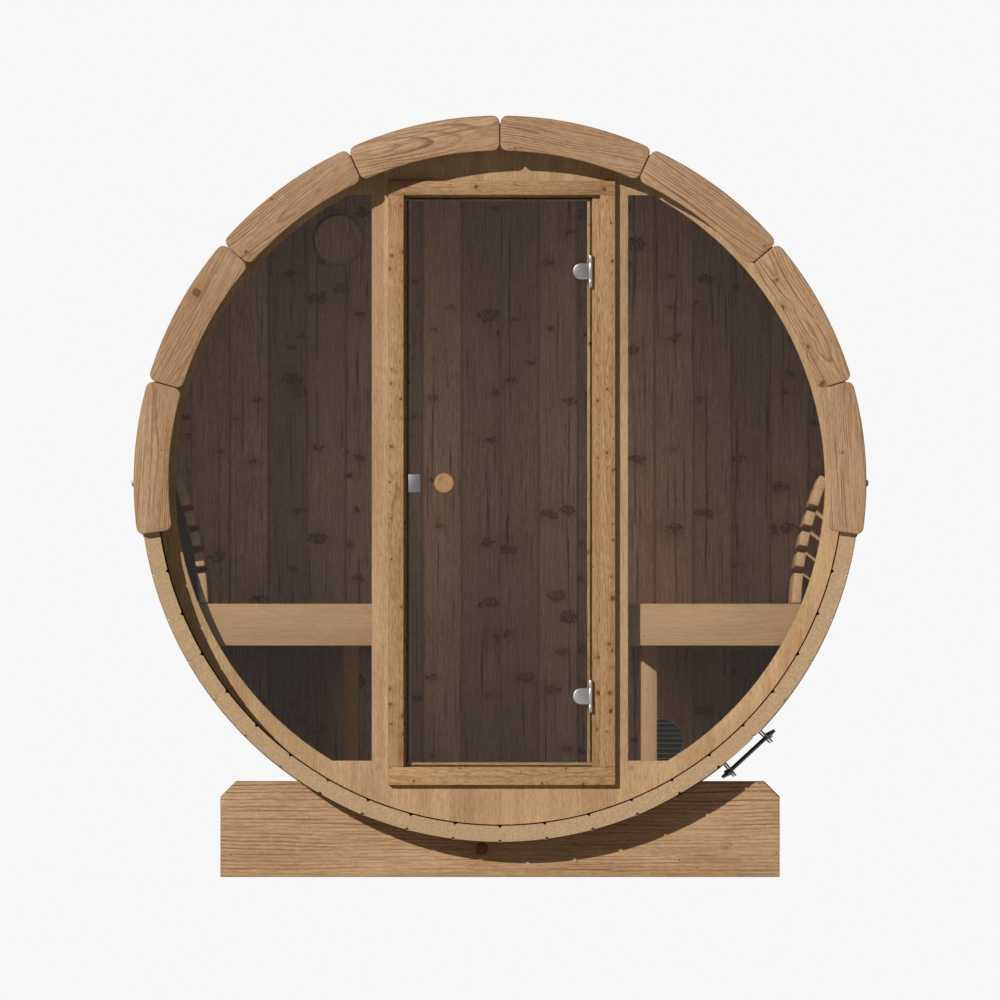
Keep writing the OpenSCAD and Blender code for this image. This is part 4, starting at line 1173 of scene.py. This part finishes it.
def vent_places():
    """Middles of the upper and the lower vent, from the pieces they belong to."""
    places = []
    for node in ("upper_vent_cover", "lower_vent_grille"):
        low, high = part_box(node)
        places.append((low + high) / 2)
    return places


class SAUNA_OT_rear_wall(bpy.types.Operator):
    """Mill one rear board, set all the boards side by side and cut them round"""
    bl_idname = "sauna.rear_wall"
    bl_label = "Rear Wall"
    bl_options = {"REGISTER", "UNDO"}

    def execute(self, context):
        s = context.scene.sauna
        w, middle = s.wall, s.barrel.middle
        back, inner = w.face, w.face - w.wall
        seam, reach, groove = 0.00004, s.barrel.radius, 0.0042
        plank = block("rear_board", (seam, inner, middle - reach), (w.board, back, middle + reach))
        ease(plank, groove, 1, where=lambda p, q: abs(p.z - q.z) > 1)
        each, depth, through = w.boards // 3, (back + inner) / 2, w.wall + 2 * OVER
        for n, part in enumerate(("left", "middle", "right")):
            row = []
            for i in range(each):
                left = (n * each + i - w.boards / 2) * w.board
                one = copied(plank, shift(x=left))
                disc = round_bar("disc", (0, depth, middle), w.radius, through, sides=FINE_ROUND)
                cut(one, disc, "INTERSECT")
                for place in vent_places():
                    if left - w.duct < place.x < left + w.board + w.duct:
                        cut(one, round_bar("duct", (place.x, depth, place.z), w.duct, through, sides=64))
                row.append(lay_grain(one, ALONG_Z, ALONG_X))
            finish(joined(f"rear_boards_{part}", row), paint("dark_wood"), "dark_wood", f"rear_wall_{part}")
        drop(plank)
        return {"FINISHED"}


class SAUNA_OT_vents(bpy.types.Operator):
    """Turn the cover of the upper vent and make the louvred grilles"""
    bl_idname = "sauna.vents"
    bl_label = "Vents"
    bl_options = {"REGISTER", "UNDO"}

    def execute(self, context):
        s = context.scene.sauna
        w = s.wall
        upper, lower = vent_places()
        inner, thick = w.face - w.wall, 0.018
        cover = round_bar("vent_cover", (upper.x, inner - thick / 2, upper.z), w.cover, thick, sides=ROUND)
        front = inner - thick + LEEWAY
        ease(cover, 0.008, 6, where=lambda p, q: p.y < front and q.y < front)
        work_face(cover, lambda p, n: n.y < -0.99 and p.y < front, ("inset", 0.004),
                  ("move", (0, 0.0035, 0)), ("inset", 0.002), ("move", (0, 0.0005, 0)))
        # The rim is painted in shade, darkest where it turns up and away from the lower right
        mark_faces(cover, lambda p, n: (abs(n.y) < 0.95) * (1.25 + 0.6 * max(0, n.z - n.x)))
        lay_grain(cover, ALONG_Z, ALONG_X)
        finish(cover, paint("dark_wood"), "dark_wood", "upper_vent_cover", smooth=30)

        grille = self.grille(s)
        inside = copied(grille, shift(lower.x, inner, lower.z))
        finish(inside, paint("vent_metal"), "vent_metal", "lower_vent_grille").name = "inner_grille"
        about = Matrix.Rotation(math.pi, 4, "Z")
        outer = [copied(grille, shift(at.x, w.face, at.z) @ about) for at in (upper, lower)]
        finish(joined("outer_grilles", outer), paint("vent_metal"), "vent_metal", "outer_vent_grilles")
        drop(grille)
        return {"FINISHED"}

    def grille(self, s):
        """Grille about the origin, its flange on the wall at Y 0 and facing -Y."""
        w = s.wall
        play, rim, flange, metal_thick, lean = 0.0003, 0.0032, 0.005, 0.003, math.radians(14)
        sleeve, bore = w.duct - play, w.grille - rim
        ring = round_bar("grille_ring", (0, -flange / 2, 0), w.grille, flange, sides=ROUND)
        cut(ring, round_bar("bore", (0, 0, 0), bore, 0.05, sides=ROUND))
        ease(ring, 0.0012, 3, where=lambda p, q: p.y < LEEWAY - flange and q.y < LEEWAY - flange)
        back = round_bar("grille_back", (0, -0.0003, 0), bore + 0.001, 0.0006, sides=ROUND)
        cut(back, round_bar("bore", (0, 0, 0), sleeve - metal_thick, 0.05, sides=ROUND))
        tube = round_bar("grille_tube", (0, 0.0073, 0), sleeve, 0.0154, sides=ROUND)
        cut(tube, round_bar("bore", (0, 0, 0), sleeve - metal_thick, 0.08, sides=ROUND))
        half, thin, lap = w.louvre / 2, 0.0005, 0.0006
        slat = block("louvre", (-bore, -thin, -half - lap), (bore, thin, half + lap))
        slat.data.transform(shift(y=-0.0022) @ Matrix.Rotation(lean, 4, "X"))
        # A thin bead along each louvre, painted light as a highlight
        bead = block("bead", (-bore, -0.0048, half - 0.0018), (bore, -0.0030, half + 0.0004))
        # Ring and beads are marked for the painted highlight
        for bright in (ring, bead):
            mark_faces(bright, lambda p, n: 1.0)
        reach = int(bore / w.louvre)
        rows = []
        for part in (slat, bead):
            row = joined(part.name, [copied(part, shift(z=i * w.louvre)) for i in range(-reach, reach + 1)])
            rows.append(cut(row, round_bar("round", (0, 0, 0), bore + 0.001, 0.08, sides=ROUND), "INTERSECT"))
            drop(part)
        return joined("grille", [ring, back, tube, *rows])


class SAUNA_OT_floor(bpy.types.Operator):
    """Lay the joists and the floor boards"""
    bl_idname = "sauna.floor"
    bl_label = "Floor"
    bl_options = {"REGISTER", "UNDO"}

    def execute(self, context):
        s = context.scene.sauna
        b, middle = s.bench, s.barrel.middle
        top, low = b.floor, b.floor - 0.022
        out, wide, deep = 0.6, 0.045, 0.046
        joists = [board("joist", (-out, y, low - deep), (out, y + wide, low), ALONG_X, ALONG_Z,
                        arris=0.0015, reach=b.reach) for y in (-0.583, -0.0225, 0.538)]
        finish(joined("joists", joists), paint("bench_wood"), "pale_wood", "floor_joists")
        half, end = math.sqrt(b.reach ** 2 - (middle - low) ** 2), 0.774
        number, gap = 9, 0.009
        width = (2 * half - (number - 1) * gap) / number
        first = board("floor_board", (-half, -end, low), (width - half, end, top), ALONG_Y, ALONG_X,
                      arris=0.003)
        boards = [vary(copied(first, shift(x=i * (width + gap)))) for i in range(number)]
        drop(first)
        finish(joined("floor_deck", boards), paint("bench_wood"), "pale_wood", "floor_boards")
        return {"FINISHED"}


def both_sides(name, parts, node):
    """Finishes the bench parts made at the right, and a mirrored set at the left."""
    mirror = Matrix.Scale(-1, 4, ALONG_X)
    left = [vary(copied(part, mirror)) for part in parts]
    finish(joined(f"{name}_right", parts), paint("bench_wood"), "bench_wood", f"{node}_right")
    finish(joined(f"{name}_left", left), paint("bench_wood"), "bench_wood", f"{node}_left")


class SAUNA_OT_benches(bpy.types.Operator):
    """Build the bench frames, legs and slatted seats at both sides"""
    bl_idname = "sauna.benches"
    bl_label = "Benches"
    bl_options = {"REGISTER", "UNDO"}

    def execute(self, context):
        s = context.scene.sauna
        b, middle = s.bench, s.barrel.middle
        apron_low, bearer_low, seat_low = b.seat - b.apron, 0.678, b.seat - b.slat
        inner, beyond, thick, frames = b.inside + b.apron_thick, 1.0, 0.044, (-0.441, 0.397)
        ends = []
        for low, high in ((-b.end, -b.end + b.apron_thick), (b.end - b.apron_thick, b.end)):
            ends.append(board("end_apron", (b.inside + 0.0005, low, apron_low), (beyond, high, b.seat),
                              ALONG_X, ALONG_Z, reach=b.reach))
        long_apron = board("long_apron", (b.inside, -b.end + b.apron_thick, apron_low),
                           (inner, b.end - b.apron_thick, b.seat), ALONG_Y, ALONG_Z)
        bearers = [board("bearer", (inner, y, bearer_low), (beyond, y + thick, seat_low), ALONG_X, ALONG_Z,
                         arris=0.0015, reach=b.reach) for y in frames]
        both_sides("bench_frame_wood", [*ends, long_apron, *bearers], "bench_frame")

        leg_in = 0.403
        legs = [board("leg", (leg_in, y, b.floor), (leg_in + thick, y + thick, bearer_low), ALONG_Z, ALONG_X,
                      arris=0.0025) for y in frames]
        both_sides("bench_leg_wood", legs, "bench_legs")

        outer = math.sqrt(b.reach ** 2 - (middle - seat_low) ** 2)
        width = (outer - inner - b.slats * b.gap) / b.slats
        end = b.end - b.apron_thick
        first = board("seat_slat", (inner + b.gap, -end, seat_low), (inner + b.gap + width, end, b.seat),
                      ALONG_Y, ALONG_X, arris=0.003)
        slats = [vary(copied(first, shift(x=i * (width + b.gap)))) for i in range(b.slats)]
        drop(first)
        both_sides("seat_slats", slats, "bench_seat")
        return {"FINISHED"}


class SAUNA_OT_backrests(bpy.types.Operator):
    """Bend the ribs and lay the back slats at both sides"""
    bl_idname = "sauna.backrests"
    bl_label = "Backrests"
    bl_options = {"REGISTER", "UNDO"}

    def execute(self, context):
        s = context.scene.sauna
        b, middle = s.bench, s.barrel.middle
        # The back slats lie on an arc about a point outside the barrel
        outer, thick, rib, out, under, first = 1.041, b.slat, 0.038, 0.084, 0.035, 0.0353
        centre = (math.sqrt(b.reach ** 2 - (middle - b.seat) ** 2) - out + outer, b.seat - under)
        start = first * outer / (outer - thick - rib)
        wide, slim = 0.086, 0.041
        parts, at = [], start
        for width in (wide, slim, slim, slim, wide):
            slat = curved_board("back_slat", centre, (outer - thick, outer), (
                math.pi - at / outer, math.pi - (at + width) / outer), (-b.end, b.end), steps=4)
            ease(slat, 0.003, 2)
            lean = math.pi - (at + width / 2) / outer
            parts.append(lay_grain(slat, ALONG_Y, (-math.sin(lean), 0, math.cos(lean))))
            at += width + b.back_gap
        total = at - b.back_gap - start
        for low, high in ((-0.441, -0.413), (-0.014, 0.014), (0.413, 0.441)):
            made = curved_board("back_rib", centre, (outer - thick - rib, outer - thick + 0.0005), (
                math.pi - start / outer, math.pi - (start + total) / outer), (low, high), steps=10)
            cut_round(made, middle, b.reach)
            parts.append(lay_grain(ease(made, 0.0015, 1), ALONG_Z, ALONG_X))
        both_sides("backrest_wood", parts, "backrest")
        return {"FINISHED"}


class SAUNA_OT_cradles(bpy.types.Operator):
    """Saw the cradles with cut corners and a curved seat for the barrel"""
    bl_idname = "sauna.cradles"
    bl_label = "Cradles"
    bl_options = {"REGISTER", "UNDO"}

    def execute(self, context):
        s = context.scene.sauna
        b, barrel = s.base, s.barrel
        cradle = block("cradle_wood_front", (-b.half, -b.front, 0), (b.half, -b.front + b.thick, b.height))
        ease(cradle, b.cut, 1, where=lambda p, q: abs(p.y - q.y) > OVER and p.z > b.height - LEEWAY)
        unmark(cradle)
        play, depth = 0.0003, 0.2
        cut(cradle, round_bar("seat", (0, -b.front, barrel.middle), barrel.radius + play, depth, sides=320))
        ease(cradle, 0.003, 3)
        # Painted shade on the arrises of the seat's right half and of the two upper corners
        right_half, top = 0.5, b.height - 0.002
        mark_faces(cradle, lambda p, n: SHADE_MARK * (n.z > 0.2 and abs(n.y) > 0.02 and p.x > right_half
                                                or n.z > 0.6 and p.z > top))
        lay_grain(cradle, ALONG_X, ALONG_Z)
        vary(cradle, side=(0.27, 0.29), deep=(0.04, 0.05))
        rear = copied(cradle, shift(y=2 * b.front - b.thick))
        rear.name = rear.data.name = "cradle_wood_rear"
        vary(rear, side=(0.2, 0.3), deep=(0.03, 0.07))
        finish(cradle, paint("cradle_wood"), "cradle_wood", "front_cradle", smooth=25)
        finish(rear, paint("cradle_wood"), "cradle_wood", "rear_cradle", smooth=25)
        return {"FINISHED"}


class SAUNA_OT_bands(bpy.types.Operator):
    """Roll the steel bands with their lugs"""
    bl_idname = "sauna.bands"
    bl_label = "Steel Bands"
    bl_options = {"REGISTER", "UNDO"}

    def execute(self, context):
        s = context.scene.sauna
        b, middle = s.base, s.barrel.middle
        half = b.band / 2
        lug = math.asin(b.lug_span / 2 / b.band_outer)
        start = -b.lug_angle + lug
        band = curved_board("band", (0, middle), (b.band_inner, b.band_outer),
                            (start, start + math.tau - 2 * lug), (-half, half), steps=240)
        parts = [band]
        tip, plate_half = b.band_outer + 0.045, 0.0025
        for angle in (-lug, lug):
            plate = block("lug", (b.band_inner, -half, middle - plate_half), (tip, half, middle + plate_half))
            ease(plate, 0.007, 4, where=lambda p, q: abs(p.z - q.z) > 0.004 and p.x > tip - LEEWAY)
            unmark(plate)
            ease(plate, 0.0006, 1)
            plate.data.transform(turned_about((0, middle), angle - b.lug_angle))
            parts.append(plate)
        ear_in, ear_out, ear_half, taper = b.band_inner + 0.0005, b.band_outer + 0.024, 0.022, 0.32
        for side in (-1, 1):
            ear = block("side_lug", (ear_in, -half, middle - ear_half), (ear_out, half, middle + ear_half))
            work_face(ear, lambda p, n: n.x > 0.9, ("resize", (1, 1, taper)))
            ease(ear, 0.002, 2)
            if side < 0:
                ear.data.transform(turned_about((0, middle), math.pi))
            parts.append(ear)
        band = joined("band", parts)
        for name, node, y in (("front_strap", "front_band", -b.band_at),
                              ("rear_strap", "rear_band", b.band_at)):
            strap = copied(band, shift(y=y))
            strap.name = strap.data.name = name
            finish(strap, paint("band_steel"), "band_steel", node, smooth=30)
        drop(band)
        return {"FINISHED"}


class SAUNA_OT_tighteners(bpy.types.Operator):
    """Thread the rods and set their nuts against the lugs"""
    bl_idname = "sauna.tighteners"
    bl_label = "Tighteners"
    bl_options = {"REGISTER", "UNDO"}

    def execute(self, context):
        s = context.scene.sauna
        b, middle = s.base, s.barrel.middle
        root, sunk = b.rod - 0.0009, 0.0002
        core = ease(round_bar("rod_core", (0, 0, 0), root, b.rod_long, "Z", 16), 0.0008, 1)
        turns = int((b.rod_long - 0.003) / b.thread)
        ridge = (root + sunk, 0, -turns * b.thread / 2)
        pick()
        bpy.ops.mesh.primitive_circle_add(vertices=3, radius=b.thread / 2, fill_type="NOTHING",
                                          location=ridge, rotation=(QUARTER, 0, 0))
        thread = settle("rod_thread")
        edit(thread, "VERT")
        bpy.ops.mesh.select_all(action="SELECT")
        bpy.ops.transform.rotate(value=-QUARTER, orient_axis="Y", center_override=ridge)
        close(thread)
        low = min(v.co.x for v in thread.data.vertices)
        far = max(v.co.x for v in thread.data.vertices)
        root_lap = 0.0003
        stretch = (b.rod - root + root_lap) / (far - low)
        thread.data.transform(shift(x=b.rod) @ Matrix.Scale(stretch, 4, (1, 0, 0)) @ shift(x=-far))
        pick(thread)
        winder = thread.modifiers.new("winder", "SCREW")
        winder.axis, winder.angle, winder.screw_offset = "Z", math.tau, b.thread
        winder.steps = winder.render_steps = 12
        winder.iterations = turns
        winder.use_merge_vertices = True
        bpy.ops.object.modifier_apply(modifier=winder.name)
        clean(thread)
        edit(thread, "VERT")
        bpy.ops.mesh.select_all(action="SELECT")
        bpy.ops.mesh.fill_holes(sides=4)
        bpy.ops.mesh.normals_make_consistent(inside=False)
        close(thread)

        lug = math.asin(b.lug_span / 2 / b.band_outer)
        across, tall, up, plate_half, clear = 0.019, 0.010, 0.022, 0.0025, 0.0003
        seat = (b.lug_span / 2 + up * math.tan(lug) + plate_half / math.cos(lug)
                + across / 2 * math.tan(lug) + clear)
        parts = [core, thread]
        for z in (seat, -seat - tall):
            nut = round_bar("nut", (0, 0, z + tall / 2), across / 2 / math.cos(math.pi / 6), tall, "Z", 6)
            ease(nut, 0.0012, 2, where=lambda p, q: abs(p.z - q.z) < FINE)
            parts.append(nut)
        one = joined("tightener", parts)
        at = b.band_outer + up
        x, z = at * math.cos(b.lug_angle), middle - at * math.sin(b.lug_angle)
        for name, node, y in (("front_tightener", "front_band_tightener", -b.band_at),
                              ("rear_tightener", "rear_band_tightener", b.band_at)):
            rod = copied(one, shift(x, y, z) @ Matrix.Rotation(b.lug_angle, 4, "Y"))
            rod.name = rod.data.name = name
            finish(rod, paint("rod_steel"), "band_steel", node, smooth=30)
        drop(one)
        return {"FINISHED"}


def sun(name, heading, strength, spread, seen=True):
    """Soft far lamp. Strength 1 shows a white face square to it as white."""
    pick()
    bpy.ops.object.light_add(type="SUN", rotation=Vector(heading).to_track_quat("-Z", "Y").to_euler())
    lamp = bpy.context.object
    lamp.name = lamp.data.name = name
    lamp.data.energy = strength * math.pi
    lamp.data.angle = math.radians(spread)
    lamp.visible_glossy = seen
    return lamp


class SAUNA_OT_stage(bpy.types.Operator):
    """Set up the plain floor, the soft lamps, the surroundings and the camera"""
    bl_idname = "sauna.stage"
    bl_label = "Stage"
    bl_options = {"REGISTER", "UNDO"}

    def execute(self, context):
        s = context.scene.sauna
        self.ground(tuple(s.colours.floor))
        self.surroundings(tuple(s.colours.floor))
        key = sun("key_lamp", heading=(0.69, 1.0, -0.53), strength=1.0, spread=0.8)
        sun("front_fill", heading=(0.0, 1.0, 0.0), strength=0.03, spread=30, seen=False)
        sun("back_fill", heading=(-0.5, -1.0, -0.6), strength=0.8, spread=20, seen=False)
        cabin = sun("cabin_fill", heading=(0.0, 1.0, -0.1), strength=0.22, spread=40, seen=False)
        rear = ("rear_boards_left", "rear_boards_middle", "rear_boards_right", "vent_cover", "inner_grille")
        self.aim(key, (*rear, "bench_leg_wood_left"), "EXCLUDE")
        self.aim(cabin, rear, "INCLUDE")
        self.camera()
        bpy.context.scene.view_settings.view_transform = "Standard"
        return {"FINISHED"}

    def aim(self, lamp, names, state):
        """Keeps a lamp off some pieces, or on them alone, as flags and snoots do in a studio."""
        group = bpy.data.collections.new(lamp.name + "_pieces")
        for name in names:
            group.objects.link(bpy.data.objects[name])
        lamp.light_linking.receiver_collection = group
        for entry in group.collection_objects:
            entry.light_linking.link_state = state

    def ground(self, shown):
        radius, glow, soak = 9.0, 0.63, 0.38
        pick()
        bpy.ops.mesh.primitive_circle_add(vertices=128, radius=radius, fill_type="NGON", location=(0, 0, 0))
        floor = settle("studio_floor")
        plain = Finish("studio_floor")
        plain.surface(shade(shown, (soak, soak, soak)), 1.0, specular_ior_level=0.0)
        path = plain.add("LightPath").outputs
        shiny = plain.calc("MAXIMUM", path["Is Glossy Ray"], path["Is Transmission Ray"])
        seen = plain.calc("MAXIMUM", path["Is Camera Ray"], shiny)
        plain.feed(plain.shader.inputs["Emission Color"], (1.0, 1.0, 1.0))
        plain.feed(plain.shader.inputs["Emission Strength"], plain.times(seen, glow))
        floor.data.materials.append(plain.material)

    def surroundings(self, shown):
        world = bpy.data.worlds.new("studio")
        bpy.context.scene.world = world
        world.use_nodes = True
        world.node_tree.nodes.clear()
        sky = Nodes(world.node_tree)
        path = sky.add("LightPath").outputs
        shiny = sky.calc("MAXIMUM", path["Is Glossy Ray"], path["Is Transmission Ray"])
        # A dark flag stands in front of the panes, so that they don't mirror the bright room
        ahead, aside, dim, ambient_light = -0.97, -0.7, 0.08, 0.065
        heading = sky.add("SeparateXYZ", {0: sky.add("TexCoord").outputs["Generated"]}).outputs["Y"]
        flag = sky.between(heading, ahead, aside, dim, 1.0)
        strength = sky.add("Mix", {0: shiny, 2: 1.0, 3: flag}).outputs[0]
        seen = sky.add("Background", {"Color": shown, "Strength": strength}).outputs[0]
        ambient = sky.add("Background", {"Color": (1.0, 1.0, 1.0), "Strength": ambient_light}).outputs[0]
        either = sky.calc("MAXIMUM", path["Is Camera Ray"], shiny)
        both = sky.add("MixShader", {0: either, 1: ambient, 2: seen}).outputs[0]
        sky.add("OutputWorld", {0: both})

    def camera(self):
        """Long lens straight at the front from the height of the floor, so that the floor is edge-on."""
        far, across, low, beyond = 120.0, 2.833, 0.002, 60.0
        aim = Vector((0, -0.9, 1.068))
        place = Vector((aim.x, aim.y - far, low))
        pick()
        bpy.ops.object.camera_add(location=place, rotation=(aim - place).to_track_quat("-Z", "Y").to_euler())
        camera = bpy.context.object
        camera.data.sensor_width = sensor = 36
        camera.data.lens = far * sensor / across
        camera.data.clip_start, camera.data.clip_end = 1.0, far + beyond
        bpy.context.scene.camera = camera


MAKERS = (SAUNA_OT_staves, SAUNA_OT_trim, SAUNA_OT_front_wall, SAUNA_OT_door_frame, SAUNA_OT_glass,
          SAUNA_OT_hinges, SAUNA_OT_knobs, SAUNA_OT_catch, SAUNA_OT_rear_wall, SAUNA_OT_vents, SAUNA_OT_floor,
          SAUNA_OT_benches, SAUNA_OT_backrests, SAUNA_OT_cradles, SAUNA_OT_bands, SAUNA_OT_tighteners,
          SAUNA_OT_stage)


class SAUNA_PT_pieces(bpy.types.Panel):
    """Lists the operators that make the sauna and its settings"""
    bl_idname = "SAUNA_PT_pieces"
    bl_label = "Barrel Sauna"
    bl_space_type = "VIEW_3D"
    bl_region_type = "UI"
    bl_category = "Sauna"

    def draw(self, context):
        for maker in MAKERS:
            self.layout.operator(maker.bl_idname)
        for key, group in GROUPS.items():
            box = self.layout.box()
            box.label(text=key.title())
            for name in group.__annotations__:
                box.prop(getattr(context.scene.sauna, key), name)


CLASSES = (*GROUPS.values(), SaunaSettings, *MAKERS, SAUNA_PT_pieces)


def register():
    for made in CLASSES:
        bpy.utils.register_class(made)
    bpy.types.Scene.sauna = bpy.props.PointerProperty(type=SaunaSettings)


def unregister():
    del bpy.types.Scene.sauna
    for made in reversed(CLASSES):
        bpy.utils.unregister_class(made)


def main():
    register()
    for maker in MAKERS:
        group, name = maker.bl_idname.split(".")
        getattr(getattr(bpy.ops, group), name)()


if __name__ == "__main__":
    main()
